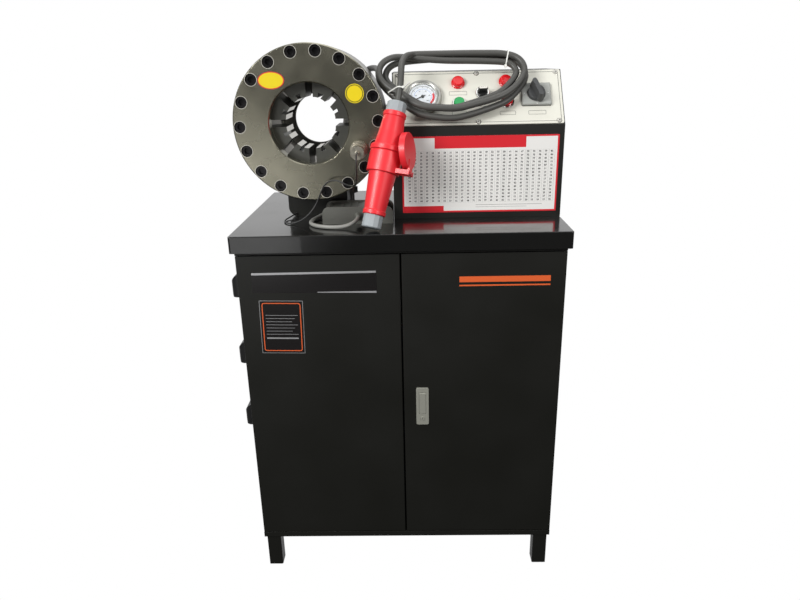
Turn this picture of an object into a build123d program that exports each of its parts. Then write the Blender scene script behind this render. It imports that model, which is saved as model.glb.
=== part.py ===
# Hydraulic hose crimping machine: a steel cabinet on four legs, a crimping head with eight sliding
# shoes on its worktop, a control box with a sloped panel, three die drawers, a foot pedal and a
# coiled supply cable with its plug.
# Millimetres. +Z is up and +Y points from the doors to the back of the machine.
# The origin lies on the floor, under the middle of the whole machine's width and depth.
# Lengths along the bench are written as (x from the worktop's middle, y back from its front edge,
# z above its top), and on_bench() turns them into the machine's own frame.
from build123d import *
from math import atan2, cos, degrees, hypot, pi, radians, sin, sqrt, tan
import os

# ---- bench ----
worktop_width = 680.0
worktop_depth = 480.0
worktop_lip = 34.7
worktop_sheet = 3.0
worktop_corner = 5.0
worktop_edge = 2.0
bench_height = 806.5
side_overhang = 8.0
front_overhang = 11.5
back_overhang = 8.0
carcass_sheet = 2.0
carcass_bend = 4.0
jamb_width = 16.0
bottom_rail = 13.0
top_rail_shows = 8.7
divider_x = -142.0
vent_width = 64.0
vent_height = 5.0
vent_pitch = 13.0
vent_rows = 7

# ---- legs ----
leg_height = 82.5
leg_side = 32.0
leg_wall = 2.0
leg_corner = 3.0
leg_inset = 4.5
leg_foot = 3.0

# ---- doors ----
door_depth = 20.0
door_sheet = 1.5
door_bend = 2.0
door_gap = 3.0
door_rail_gap = 2.0
door_back_gap = 5.0
hinge_edge = 9.0
hinge_radius = 4.0
hinge_head = 6.0
hinge_head_height = 3.0
hinge_reach = 12.0
hinge_boss = 7.0
stiffener_width = 50.0
stiffener_depth = 12.0
stiffener_margin = 40.0
running_fit = 0.05
seat_gap = 0.3

# ---- door lock ----
lock_x = 41.0
lock_height = 422.5
lock_width = 27.0
lock_length = 89.0
lock_plate_sheet = 2.5
lock_corner = 4.0
lock_body_width = 20.0
lock_body_length = 72.0
lock_body_depth = 15.0
paddle_width = 14.0
paddle_length = 50.0
paddle_sheet = 3.0
paddle_gap = 0.5
paddle_rise = 8.0
paddle_well = 9.0
paddle_pin = 1.2
key_radius = 4.5

# ---- drawers ----
drawer_names = ("top", "middle", "bottom")
drawer_first = 126.0
drawer_pitch = 155.5
drawer_front_width = 164.0
drawer_front_height = 150.0
drawer_front_sheet = 2.0
drawer_middle_y = 130.0
tray_width = 144.0
tray_height = 116.0
tray_length = 176.0
tray_sheet = 1.2
tray_clearance = 4.0
runner_leg = 16.0
runner_sheet = 2.0
pull_width = 100.0
pull_height = 55.0
pull_reach = 31.7
pull_wall = 3.0
pull_corner = 14.0

# ---- crimping head ----
head_x = -182.0
head_z = 202.0
head_front = 120.0
ring_radius = 155.0
ring_thickness = 30.0
ring_bore = 81.0
ring_chamfer = 2.0
bolt_circle = 141.0
bolt_count = 18
bolt_phase = 1.5
counterbore_radius = 11.7
counterbore_depth = 17.0
bolt_head_radius = 10.5
bolt_head_height = 14.0
bolt_hole_radius = 7.6
bolt_radius = 7.0
bolt_thread = 20.0
bolt_socket = 12.0
bolt_socket_depth = 7.0
body_radius = 153.0
body_length = 145.0
cylinder_bore = 128.0
guide_bore = 112.0
guide_length = 60.0
rear_cover = 5.0
hose_bore = 54.0
shoe_count = 8
shoe_length = 80.0
shoe_back = 86.0
open_radius = 52.5
closed_gap = 1.7
cone_angle = 20.0
piston_travel = 46.0
piston_front_gap = 1.0
piston_flange = 31.0
piston_bore = 80.0
dovetail_mouth = 6.0
dovetail_base = 11.0
dovetail_depth = 9.0
shoe_pin_hole = 2.5
saddle_width = 130.0
saddle_front = 182.0
saddle_length = 78.0
saddle_corner = 20.0
saddle_shoulder = 6.0

# ---- limit sensor on the ring ----
sensor_circle = 113.0
sensor_angle = -27.5
sensor_steps = ((18.0, 12.0), (15.5, 20.0), (13.5, 28.0))
sensor_boss = (4.0, 6.0)

# ---- hydraulic unit ----
pipe_x = -115.0
pipe_y = 275.0
pipe_radius = 6.0
pipe_hole = 11.0
fitting_across = 24.0
tank_length = 300.0
tank_width = 230.0
tank_height = 220.0
tank_wall = 3.0
tank_corner = 18.0
tank_lid = 5.0
tank_lid_rim = 4.0
tank_gauge_inset = 60.0
motor_box_inset = 40.0
motor_box_length = 80.0
motor_box_width = 68.0
motor_box_rise = 26.0
tank_left_gap = 4.0
tank_back_gap = 16.0
neck_radius = 13.0
cap_radius = 18.0
cap_height = 26.0
cap_plug = 14.0
block_size = 46.0
block_height = 90.0
coil_radius = 17.0
coil_length = 42.0
motor_radius = 66.0
motor_length = 170.0
motor_fin_count = 20
motor_fin_height = 8.0
motor_fin_width = 3.0
motor_bell = 76.0
motor_bell_length = 22.0
motor_foot = 12.0
pump_length = 62.0
pump_side = 84.0

# ---- control box ----
box_left = -14.0
box_right = 340.0
box_front = 139.0
box_front_height = 190.0
box_slope = 53.0
box_slope_length = 132.4
box_depth = 251.0
box_sheet = 1.5
panel_sheet = 2.5
panel_margin = 2.0
gauge_at = (50.0, 66.0)
gauge_radius = 39.0
gauge_rise = 12.0
gauge_body = 35.0
gauge_body_depth = 28.0
gauge_dial_depth = 5.0
glass_sheet = 1.5
needle_length = 24.0
needle_hub = 3.5
needle_sheet = 0.8
needle_rest = 205.0
needle_sweep = 270.0
lamp_at = ((124.0, 101.0), (223.0, 102.0))
lamp_radius = 14.0
lamp_rise = 11.0
green_at = (125.0, 52.0)
red_at = (224.0, 53.0)
button_radius = 11.0
button_travel = 4.0
selector_at = (174.0, 76.0)
bezel_radius = 14.5
bezel_rise = 4.0
switch_body_radius = 11.0
switch_body_depth = 36.0
cam_at = (284.0, 69.0)
cam_plate_width = 60.0
cam_plate_height = 52.0
cam_plate_rise = 7.0
cam_knob_radius = 19.0
cam_knob_rise = 24.0

# ---- foot pedal ----
pedal_x = -89.0
pedal_front = 95.0
pedal_length = 147.0
pedal_width = 76.0
pedal_height = 36.0
pedal_cheek = 5.0
pedal_floor = 8.0
pedal_switch_length = 42.0
pedal_corner = 14.0
treadle_sheet = 4.0
treadle_pin = 3.0
treadle_barrel = 6.5
treadle_angle = 9.0
treadle_travel = 8.0

# ---- plug, coupler and cables ----
plug_foot = (-57.0, 21.0, 8.6)
plug_tip = (-1.0, 100.0, 242.0)
gland_radius = 20.0
gland_across = 38.0
lower_gland = 26.0
upper_gland = 21.0
collar_from = 110.0
collar_to = 152.0
collar_radius = 33.0
plug_rim_radius = 34.5
plug_rim_width = 11.0
lid_radius = 36.0
lid_depth = 12.0
lid_wall = 3.0
lid_hinge_out = 22.0
lid_hinge_above = 8.0
lid_hinge_pin = 2.0
lid_knuckle = 5.0
lid_lean = 12.0
lid_lug = 9.0
supply_diameter = 13.0
pedal_cable_diameter = 8.0
sensor_wire_diameter = 3.0
bend_share = 0.45
coil_band = 36.0
coil_inner_face = 17.0
coil_thickness = 30.0
coil_edge = 8.0
coil_rounds = ((2.0, 105.0, 50.0), (222.0, 105.0, 50.0), (60.0, 55.0, 52.0), (110.0, 66.0, 70.0),
               (190.0, 80.0, 57.0))
box_gland_y = 345.0
box_gland_z = 215.0
box_gland_length = 25.0
box_gland_radius = 13.0
lead_route = ((-1.0, 100.0, 242.0), (5.0, 108.0, 268.5), (6.5, 121.0, 294.0), (8.0, 143.0, 315.0),
              (15.0, 170.0, 328.0), (31.0, 195.0, 331.0))
tail_route = ((-39.0, 345.0, 215.0), (-65.0, 345.0, 215.0), (-88.0, 344.0, 226.0), (-101.0, 342.0, 248.0),
              (-101.0, 338.0, 273.0), (-88.0, 331.0, 294.0), (-68.0, 317.0, 304.0), (-54.0, 294.0, 306.0),
              (-47.0, 266.0, 303.0), (-42.0, 228.0, 300.0), (-38.0, 190.0, 299.0))
pedal_cable_route = ((-87.0, 84.0, 17.0), (-87.5, 72.0, 16.0), (-93.0, 60.0, 12.0), (-105.0, 52.0, 7.0),
                     (-124.0, 49.0, 4.4), (-147.0, 52.0, 4.3), (-168.0, 62.0, 4.3), (-183.0, 79.0, 4.3),
                     (-189.0, 102.0, 4.3), (-186.0, 126.0, 4.3), (-176.0, 150.0, 5.5), (-166.0, 170.0, 8.0),
                     (-160.0, 183.0, 9.0))
sensor_wire_route = ((-81.8, 54.0, 149.8), (-81.8, 45.0, 149.3), (-81.9, 37.0, 145.5), (-82.0, 32.5, 137.0),
                     (-82.0, 33.5, 124.0), (-82.7, 40.0, 109.0), (-84.5, 51.0, 95.5), (-89.5, 65.0, 86.0),
                     (-98.0, 79.0, 81.5), (-112.0, 91.0, 84.5), (-129.0, 98.5, 91.5), (-146.0, 103.0, 89.5),
                     (-158.0, 105.5, 78.5), (-166.0, 106.5, 61.0), (-175.0, 106.0, 41.0), (-188.0, 103.0, 23.0),
                     (-206.0, 98.5, 9.0), (-226.0, 98.0, 2.4), (-241.0, 106.0, 2.0), (-248.0, 122.0, 2.0),
                     (-247.0, 141.0, 2.4), (-240.0, 159.0, 4.0), (-233.0, 173.0, 6.0), (-229.0, 183.0, 7.0))

# ---- sizes that follow from the ones above ----
half_depth = worktop_depth / 2
body_half = worktop_width / 2 - side_overhang
front_y = front_overhang - half_depth
back_y = half_depth - back_overhang
side_front = front_y + door_depth + door_back_gap
carcass_top = bench_height - worktop_sheet
door_low = leg_height + bottom_rail + door_rail_gap
door_high = bench_height - worktop_lip - top_rail_shows
top_rail_low = door_high + door_rail_gap
hinge_x = body_half - hinge_edge
hinge_y = front_y + door_depth - hinge_edge
drawer_y = drawer_middle_y - half_depth
drawer_face_x = -body_half - seat_gap
pull_face_x = drawer_face_x - drawer_front_sheet
shoe_travel = piston_travel * tan(radians(cone_angle))
head_mid_y = head_front + ring_thickness - half_depth
box_rise = box_slope_length * sin(radians(box_slope))
box_run = box_slope_length * cos(radians(box_slope))
origin_shift = (body_half + seat_gap + drawer_front_sheet + pull_reach - worktop_width / 2) / 2


def on_bench(x, y, z):
    """A point given from the worktop's middle, its front edge and its top."""
    return Vector(x, y - half_depth, z + bench_height)


def block(x0, x1, y0, y1, z0, z1):
    """A box between two corners."""
    return Pos((x0 + x1) / 2, (y0 + y1) / 2, (z0 + z1) / 2) * Box(x1 - x0, y1 - y0, z1 - z0)


def round_bar(radius, start, direction, length):
    """A straight round bar from a point along a direction."""
    plane = Plane(origin=start, z_dir=direction)
    return plane * extrude(Circle(radius), length)


def turned(points):
    """A body turned about +Z from its half section, given as (radius, height) points."""
    section = make_face(Polyline(*[(radius, 0, height) for radius, height in points], close=True))
    return revolve(section, Axis.Z)


def stepped(steps):
    """A stepped round bar along +Z, from (radius, length) steps."""
    points = [(0, 0)]
    height = 0
    for radius, length in steps:
        points.append((radius, height))
        height += length
        points.append((radius, height))
    points.append((0, height))
    return turned(points)


# ---- bench and cabinet ----
def make_worktop():
    """A folded steel tray, upside down, with a hole for the pressure pipe."""
    tray = extrude(RectangleRounded(worktop_width, worktop_depth, worktop_corner), worktop_lip)
    tray = fillet(tray.edges().group_by(Axis.Z)[-1], worktop_edge)
    hollow = extrude(
        RectangleRounded(
            worktop_width - 2 * worktop_sheet,
            worktop_depth - 2 * worktop_sheet,
            worktop_corner - worktop_sheet,
        ),
        worktop_lip - worktop_sheet,
    )
    tray = Pos(0, 0, bench_height - worktop_lip) * (tray - hollow)
    return tray - round_bar(pipe_hole, on_bench(pipe_x, pipe_y, -2 * worktop_sheet), (0, 0, 1), 4 * worktop_sheet)


def rail(low, high):
    """A front rail: a channel open to the back, from one side of the cabinet to the other."""
    outer = block(-body_half, body_half, front_y, side_front + carcass_sheet, low, high)
    inner = block(
        -body_half - 1,
        body_half + 1,
        front_y + carcass_sheet,
        side_front + carcass_sheet + 1,
        low + carcass_sheet,
        high - carcass_sheet,
    )
    return outer - inner


def side_openings():
    """The three openings in the left side, one for each drawer."""
    half = tray_width / 2 + tray_clearance
    cuts = Part()
    for number in range(len(drawer_names)):
        middle = drawer_height(number)
        low = middle - tray_height / 2 - tray_clearance
        high = middle + tray_height / 2 + tray_clearance
        cuts += block(-body_half - 1, -body_half + carcass_sheet + 1, drawer_y - half, drawer_y + half, low, high)
    return cuts


def back_vents():
    """Cooling slots through the back, behind the motor."""
    slot = Rot(90, 0, 0) * extrude(SlotOverall(vent_width, vent_height), 4 * carcass_sheet, both=True)
    vents = Part()
    middle_x = (divider_x + body_half) / 2
    low = leg_height + tank_height + 2 * motor_radius
    for row in range(vent_rows):
        for side in (-1, 1):
            vents += Pos(middle_x + side * vent_width * 0.7, back_y, low + row * vent_pitch) * slot
    return vents


def make_carcass():
    """The welded cabinet: sides, back, floor, front rails, jambs and the wall beside the drawers."""
    wrap = block(-body_half, body_half, side_front, back_y, leg_height, carcass_top)
    wrap = fillet(wrap.edges().filter_by(Axis.Z).group_by(Axis.Y)[-1], carcass_bend)
    sheet = carcass_sheet
    wrap -= block(-body_half + sheet, body_half - sheet, side_front - 1, back_y - sheet,
                  leg_height + sheet, carcass_top + 1)
    wrap += rail(leg_height, leg_height + bottom_rail)
    wrap += rail(top_rail_low, carcass_top)
    for side in (-1, 1):
        edge = side * (body_half - sheet)
        lip = side * (body_half - jamb_width)
        wrap += block(min(edge, lip), max(edge, lip), side_front, side_front + sheet,
                      leg_height + bottom_rail, top_rail_low)
    wrap += block(divider_x, divider_x + sheet, side_front + sheet, back_y - sheet,
                  leg_height + sheet, carcass_top)
    wrap -= side_openings()
    wrap -= back_vents()
    for side in (-1, 1):
        centre = Vector(side * hinge_x, hinge_y, leg_height)
        hole = round_bar(hinge_radius + running_fit, centre + Vector(0, 0, sheet + 1), (0, 0, 1), bottom_rail)
        wrap -= hole
        centre = Vector(side * hinge_x, hinge_y, top_rail_low - 1)
        wrap -= round_bar(hinge_radius + running_fit, centre, (0, 0, 1), sheet + 2)
    return wrap


def make_legs():
    """Four square tube legs, each closed by a plate where it stands."""
    tube = extrude(RectangleRounded(leg_side, leg_side, leg_corner), leg_height)
    tube -= Pos(0, 0, leg_foot) * extrude(Rectangle(leg_side - 2 * leg_wall, leg_side - 2 * leg_wall), leg_height)
    x = body_half - leg_inset - leg_side / 2
    front = front_y + leg_inset + leg_side / 2
    back = back_y - leg_inset - leg_side / 2
    return [Pos(side * x, y, 0) * tube for y in (front, back) for side in (-1, 1)]


def make_door(side):
    """A door folded from sheet, with a stiffener and two hinge bosses inside. side is 1 or -1."""
    door = block(door_gap / 2, body_half, front_y, front_y + door_depth, door_low, door_high)
    door = fillet(door.edges().filter_by(Axis.Z).group_by(Axis.Y)[0], door_bend)
    sheet = door_sheet
    door -= block(door_gap / 2 + sheet, body_half - sheet, front_y + sheet, front_y + door_depth + 1,
                  door_low + sheet, door_high - sheet)
    middle = (door_gap / 2 + body_half) / 2
    half = stiffener_width / 2
    hat = block(middle - half, middle + half, front_y + sheet, front_y + sheet + stiffener_depth,
                door_low + stiffener_margin, door_high - stiffener_margin)
    hat -= block(middle - half + sheet, middle + half - sheet, front_y, front_y + stiffener_depth,
                 door_low, door_high)
    door += hat
    for low in (door_low, door_high - hinge_reach):
        door += round_bar(hinge_boss, (hinge_x, hinge_y, low), (0, 0, 1), hinge_reach)
        door -= round_bar(hinge_radius + running_fit, (hinge_x, hinge_y, low - 1), (0, 0, 1), hinge_reach + 2)
    if side > 0:
        cut_half = lock_body_width / 2 + seat_gap
        cut_tall = lock_body_length / 2 + seat_gap
        door -= block(lock_x - cut_half, lock_x + cut_half, front_y - 1, front_y + 2 * sheet,
                      lock_height - cut_tall, lock_height + cut_tall)
        return door
    return mirror(door, Plane.YZ)


def make_hinge_pins():
    """Headed pins that stand in the rails and carry the doors, each with a collar under the door."""
    reach = door_rail_gap + carcass_sheet
    pin = stepped((
        (hinge_head, hinge_head_height),
        (hinge_radius, carcass_sheet),
        (hinge_head, door_rail_gap - seat_gap),
        (hinge_radius, hinge_reach),
    ))
    bottom = leg_height + bottom_rail - carcass_sheet - hinge_head_height
    top = top_rail_low + carcass_sheet + hinge_head_height
    pins = []
    for side in (-1, 1):
        pins.append(Pos(side * hinge_x, hinge_y, bottom) * pin)
        pins.append(Pos(side * hinge_x, hinge_y, top) * Rot(180, 0, 0) * pin)
    return pins


# ---- door lock ----
def paddle_limits():
    """The paddle's lowest and highest edge."""
    low = lock_height - paddle_length / 2 + paddle_rise
    return low, low + paddle_length


def make_lock_plate():
    """The lock's face plate and body, with a well for the paddle, its pin and the key barrel."""
    face = Rot(90, 0, 0) * extrude(RectangleRounded(lock_width, lock_length, lock_corner), lock_plate_sheet)
    face = fillet(face.edges().group_by(Axis.Y)[0], lock_plate_sheet / 3)
    plate = Pos(lock_x, front_y, lock_height) * face
    plate += block(lock_x - lock_body_width / 2, lock_x + lock_body_width / 2, front_y, front_y + lock_body_depth,
                   lock_height - lock_body_length / 2, lock_height + lock_body_length / 2)
    low, high = paddle_limits()
    half = paddle_width / 2 + paddle_gap
    well = Rot(90, 0, 0) * extrude(Rectangle(2 * half, high - low + 2 * paddle_gap), paddle_well)
    plate -= Pos(lock_x, front_y - lock_plate_sheet + paddle_well, (low + high) / 2) * well
    pin_z = high - paddle_sheet
    pin_y = front_y - lock_plate_sheet + paddle_sheet
    plate += round_bar(paddle_pin, (lock_x - half - 1, pin_y, pin_z), (1, 0, 0), 2 * half + 2)
    key_z = lock_height - lock_length / 2 + lock_body_depth
    barrel = round_bar(key_radius, (lock_x, front_y - lock_plate_sheet, key_z), (0, -1, 0), 1.0)
    barrel -= block(lock_x - 0.8, lock_x + 0.8, front_y - lock_plate_sheet - 2, front_y - lock_plate_sheet,
                    key_z - key_radius / 2, key_z + key_radius / 2)
    return plate + barrel


def make_lock_paddle():
    """The paddle that lifts out of the lock's well on its pin."""
    low, high = paddle_limits()
    face_y = front_y - lock_plate_sheet
    pin_y = face_y + paddle_sheet
    pin_z = high - paddle_sheet
    blade = Rot(90, 0, 0) * extrude(RectangleRounded(paddle_width, paddle_length - paddle_sheet, 2), paddle_sheet)
    blade = Pos(lock_x, face_y + paddle_sheet, low + (paddle_length - paddle_sheet) / 2) * blade
    knuckle = round_bar(paddle_sheet - 0.3, (lock_x - paddle_width / 2, pin_y, pin_z), (1, 0, 0), paddle_width)
    hole = round_bar(paddle_pin + running_fit, (lock_x - paddle_width, pin_y, pin_z), (1, 0, 0), 2 * paddle_width)
    return blade + knuckle - hole


# ---- drawers ----
def drawer_height(number):
    """The height of a drawer's middle."""
    return bench_height - drawer_first - number * drawer_pitch


def make_drawer(number):
    """A sheet steel drawer that opens to the left: a flat front and an open tray behind it."""
    middle = drawer_height(number)
    front = block(drawer_face_x - drawer_front_sheet, drawer_face_x,
                  drawer_y - drawer_front_width / 2, drawer_y + drawer_front_width / 2,
                  middle - drawer_front_height / 2, middle + drawer_front_height / 2)
    front = fillet(front.edges().filter_by(Axis.X), 3)
    low = middle - tray_height / 2
    tray = block(drawer_face_x, drawer_face_x + tray_length, drawer_y - tray_width / 2, drawer_y + tray_width / 2,
                 low, low + tray_height)
    tray -= block(drawer_face_x, drawer_face_x + tray_length - tray_sheet,
                  drawer_y - tray_width / 2 + tray_sheet, drawer_y + tray_width / 2 - tray_sheet,
                  low + tray_sheet, low + tray_height + 1)
    return front + tray


def make_runners():
    """Pairs of steel angles from the cabinet's left side to the wall beside the drawers."""
    angles = []
    for number in range(len(drawer_names)):
        low = drawer_height(number) - tray_height / 2 - seat_gap
        for side in (-1, 1):
            wall = drawer_y + side * (tray_width / 2 + tray_clearance / 2)
            inward = wall - side * runner_leg
            outward = wall + side * runner_sheet
            angle = block(-body_half + carcass_sheet, divider_x, min(inward, outward), max(inward, outward),
                          low - runner_sheet, low)
            angle += block(-body_half + carcass_sheet, divider_x, min(wall, outward), max(wall, outward),
                           low - runner_sheet, low + runner_leg)
            angles.append(angle)
    return angles


def pull_form(offset):
    """The pull's outside, or its inside when offset is the wall: a hood that bulges outward and down."""
    reach = pull_reach - offset
    high = pull_height / 2 - offset
    low = -pull_height / 2
    if offset:
        low = low - 1
    side = make_face(
        Polyline((0, 0, high), (0, 0, low), (-reach + 2, 0, low), (-reach, 0, low + pull_height / 4))
        + ThreePointArc(
            (-reach, 0, low + pull_height / 4), (-reach * 0.78, 0, high * 0.62), (0, 0, high)
        )
    )
    hood = extrude(side, pull_width / 2 - offset, both=True)
    plan = Pos(0, 0, -pull_height) * extrude(
        RectangleRounded(2 * reach, pull_width - 2 * offset, pull_corner - offset), 2 * pull_height
    )
    return hood & plan


def make_pull(number):
    """A moulded cup pull, open below for the fingers."""
    hood = pull_form(0) - pull_form(pull_wall)
    return Pos(pull_face_x, drawer_y, drawer_height(number)) * hood


# ---- crimping head ----
def head_place(y):
    """A frame on the head's axis: local x right, local z towards the back."""
    middle = on_bench(head_x, head_front, head_z)
    return Plane(origin=(middle.X, y, middle.Z), x_dir=(1, 0, 0), z_dir=(0, 1, 0))


def bolt_places():
    """The bolts' angles on the ring, as seen from the front."""
    return [bolt_phase + number * 360 / bolt_count for number in range(bolt_count)]


def polar(radius, angle):
    """A place on a circle round the head's axis, in the head's own frame, whose y points down."""
    return Pos(radius * cos(radians(angle)), -radius * sin(radians(angle)), 0)


def make_head_ring():
    """The front ring: a thick steel flange with counterbored holes."""
    ring = turned((
        (ring_bore + ring_chamfer, 0),
        (ring_radius - ring_chamfer, 0),
        (ring_radius, ring_chamfer),
        (ring_radius, ring_thickness),
        (ring_bore, ring_thickness),
        (ring_bore, ring_chamfer),
    ))
    for angle in bolt_places():
        ring -= polar(bolt_circle, angle) * Pos(0, 0, -1) * extrude(Circle(counterbore_radius), counterbore_depth + 1)
        ring -= polar(bolt_circle, angle) * extrude(Circle(bolt_hole_radius), ring_thickness + 1)
    return head_place(head_front - half_depth) * ring


def make_ring_bolts():
    """Socket head screws that clamp the ring to the cylinder body."""
    length = ring_thickness - counterbore_depth + bolt_thread
    screw = stepped(((bolt_head_radius, bolt_head_height), (bolt_radius, length)))
    screw -= extrude(RegularPolygon(bolt_socket / 2, 6, major_radius=False), bolt_socket_depth)
    lift = counterbore_depth - bolt_head_height
    frame = head_place(head_front - half_depth)
    return [frame * polar(bolt_circle, angle) * Pos(0, 0, lift) * screw for angle in bolt_places()]


def make_cylinder_body():
    """The cylinder: a thick cup with a wide bore for the piston's flange and a narrower guide bore."""
    step = body_length - guide_length - rear_cover
    body = turned((
        (cylinder_bore, 0),
        (body_radius - ring_chamfer, 0),
        (body_radius, ring_chamfer),
        (body_radius, body_length - ring_chamfer),
        (body_radius - ring_chamfer, body_length),
        (hose_bore, body_length),
        (hose_bore, body_length - rear_cover),
        (guide_bore, body_length - rear_cover),
        (guide_bore, step),
        (cylinder_bore, step),
    ))
    return head_place(head_mid_y) * body


def cone_radius(depth):
    """The radius of the piston's cone at rest, at a depth behind the ring."""
    return shoe_back + (shoe_length - depth) * tan(radians(cone_angle))


def make_piston():
    """The ring piston: its inner cone closes the shoes as it slides towards the front."""
    front = piston_travel + piston_front_gap
    step = body_length - guide_length - rear_cover
    flange_end = front + piston_flange
    rear = body_length - rear_cover - 2
    cone_end = shoe_length + (shoe_back - piston_bore) / tan(radians(cone_angle))
    piston = turned((
        (cone_radius(front) + running_fit, front),
        (cylinder_bore - running_fit, front),
        (cylinder_bore - running_fit, min(flange_end, step - seat_gap)),
        (guide_bore - running_fit, min(flange_end, step - seat_gap)),
        (guide_bore - running_fit, rear),
        (piston_bore + running_fit, rear),
        (piston_bore + running_fit, cone_end),
    ))
    return head_place(head_mid_y) * piston


def make_shoe(number):
    """One of the shoes: a wedge cut in the closed position, then set back by its travel."""
    front = seat_gap
    clear = 2 * running_fit
    closed_inner = open_radius - shoe_travel
    ring = turned((
        (closed_inner, front),
        (cone_radius(front) - shoe_travel - clear, front),
        (cone_radius(shoe_length) - shoe_travel - clear, shoe_length),
        (closed_inner, shoe_length),
    ))
    half = radians(180 / shoe_count)
    apex = closed_gap / 2 / sin(half)
    reach = 2 * body_radius
    wedge = extrude(
        make_face(Polyline((apex, 0), (reach, (reach - apex) * tan(half)), (reach, -(reach - apex) * tan(half)),
                           close=True)),
        shoe_length + 1,
    )
    shoe = ring & wedge
    slot = extrude(
        make_face(Polyline(
            (closed_inner - 2, -dovetail_mouth / 2),
            (closed_inner + 1, -dovetail_mouth / 2),
            (closed_inner + dovetail_depth, -dovetail_base / 2),
            (closed_inner + dovetail_depth, dovetail_base / 2),
            (closed_inner + 1, dovetail_mouth / 2),
            (closed_inner - 2, dovetail_mouth / 2),
            close=True,
        )),
        shoe_length + 1,
    )
    shoe -= slot
    angle = radians((number + 0.5) * 360 / shoe_count)
    middle = on_bench(head_x, head_front, head_z)
    place = Plane(origin=(middle.X, head_mid_y, middle.Z), x_dir=(cos(angle), 0, sin(angle)), z_dir=(0, 1, 0))
    return place * Pos(shoe_travel, 0, 0) * shoe


def make_saddle():
    """The cast cradle between the worktop and the cylinder body."""
    half = saddle_width / 2
    rise = head_z - sqrt((body_radius + seat_gap) ** 2 - half ** 2)
    profile = make_face(Polyline((-half, 0), (half, 0), (half, rise), (-half, rise), close=True))
    profile = fillet(profile.vertices().group_by(Axis.Y)[0], saddle_corner)
    cradle = Rot(90, 0, 0) * extrude(profile, -saddle_length)
    place = on_bench(head_x, saddle_front, 0)
    saddle = Pos(place.X, place.Y, place.Z) * cradle
    saddle -= head_place(saddle_front - half_depth - 1) * extrude(Circle(body_radius + seat_gap), saddle_length + 2)
    return saddle


def make_sensor():
    """The stepped round limit sensor screwed to the ring's face."""
    sensor = stepped((*sensor_steps, sensor_boss))
    place = head_place(head_front - half_depth) * polar(sensor_circle, sensor_angle)
    return place * Rot(180, 0, 0) * sensor


# ---- hydraulic unit in the cabinet ----
def tank_box():
    """The tank's left, right, front and back."""
    left = divider_x + carcass_sheet + tank_left_gap
    back = back_y - carcass_sheet - tank_back_gap
    return left, left + tank_length, back - tank_width, back


def tank_top():
    """The height of the tank lid's upper face."""
    return leg_height + carcass_sheet + tank_height + tank_lid


def unit_y():
    """The middle of the motor and pump."""
    left, right, front, back = tank_box()
    return (front + back) / 2 + 10


def make_tank():
    """The oil tank: a folded box on the cabinet's floor, with its lid plate and filler neck."""
    left, right, front, back = tank_box()
    floor = leg_height + carcass_sheet
    middle = Pos((left + right) / 2, (front + back) / 2, floor)
    tank = middle * extrude(RectangleRounded(tank_length, tank_width, tank_corner), tank_height)
    hollow = extrude(
        RectangleRounded(tank_length - 2 * tank_wall, tank_width - 2 * tank_wall, tank_corner - tank_wall),
        tank_height - tank_wall,
    )
    tank -= middle * Pos(0, 0, tank_wall) * hollow
    rim = 2 * tank_lid_rim
    lid = extrude(RectangleRounded(tank_length + rim - 2, tank_width + rim, tank_corner), tank_lid)
    tank += middle * Pos(0, 0, tank_height) * lid
    cap = cap_place()
    tank -= round_bar(neck_radius, (cap.X, cap.Y, tank_top() - tank_lid - tank_wall - 1), (0, 0, 1), 20)
    gauge = round_bar(12, (right - tank_gauge_inset, front, floor + tank_height / 2), (0, -1, 0), 6)
    return tank + gauge


def cap_place():
    """Where the filler cap stands on the tank's lid."""
    left, right, front, back = tank_box()
    return Vector(right - cap_radius - 8, front + cap_radius + 8, tank_top())


def make_tank_cap():
    """The filler and breather cap, with a plug that drops into the neck."""
    cap = turned((
        (0, -cap_plug),
        (neck_radius - seat_gap, -cap_plug),
        (neck_radius - seat_gap, 0),
        (cap_radius, 0),
        (cap_radius, cap_height * 0.7),
        (cap_radius * 0.7, cap_height),
        (0, cap_height),
    ))
    place = cap_place()
    return Pos(place.X, place.Y, place.Z) * cap


def make_motor():
    """The finned electric motor, foot mounted on the tank's lid."""
    core = Circle(motor_radius)
    for number in range(motor_fin_count):
        fin = Rot(0, 0, number * 360 / motor_fin_count) * Pos(motor_radius, 0)
        core += fin * Rectangle(2 * motor_fin_height, motor_fin_width)
    start = pipe_x + block_size / 2 + 20 + pump_length
    height = tank_top() + motor_foot + motor_bell
    place = Plane(origin=(start, unit_y(), height), x_dir=(0, 1, 0), z_dir=(1, 0, 0))
    overlap = motor_bell_length / 2
    motor = extrude(core, motor_length)
    motor += stepped(((motor_bell, motor_bell_length),))
    motor += Pos(0, 0, motor_length - overlap) * stepped(((motor_bell, 3 * overlap), (motor_bell - 8, 6)))
    motor = place * motor
    half = motor_bell * 0.8
    motor += block(start + 10, start + motor_length * 0.75, unit_y() - half, unit_y() + half,
                   tank_top(), tank_top() + 1.5 * motor_foot)
    for side in (-1, 1):
        web = unit_y() + side * half * 0.7
        motor += block(start + 20, start + motor_length * 0.7, web - 6, web + 6, tank_top(), height - motor_radius * 0.6)
    box_start = start + motor_box_inset
    half = motor_box_width / 2
    motor += block(box_start, box_start + motor_box_length, unit_y() - half, unit_y() + half,
                   height + motor_radius * 0.8, height + motor_bell + motor_box_rise)
    return motor


def make_pump():
    """The gear pump on the motor's end, with its outlet to the valve block."""
    start = pipe_x + block_size / 2
    height = tank_top() + motor_foot + motor_bell
    left = start + 20
    half = pump_side / 2
    pump = block(left, left + pump_length, unit_y() - half, unit_y() + half, height - half, height + half)
    pump = fillet(pump.edges().filter_by(Axis.X), half / 2)
    low = tank_top() + block_height / 2
    pump += round_bar(9, (start, unit_y(), low), (1, 0, 0), 30)
    return pump


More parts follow.
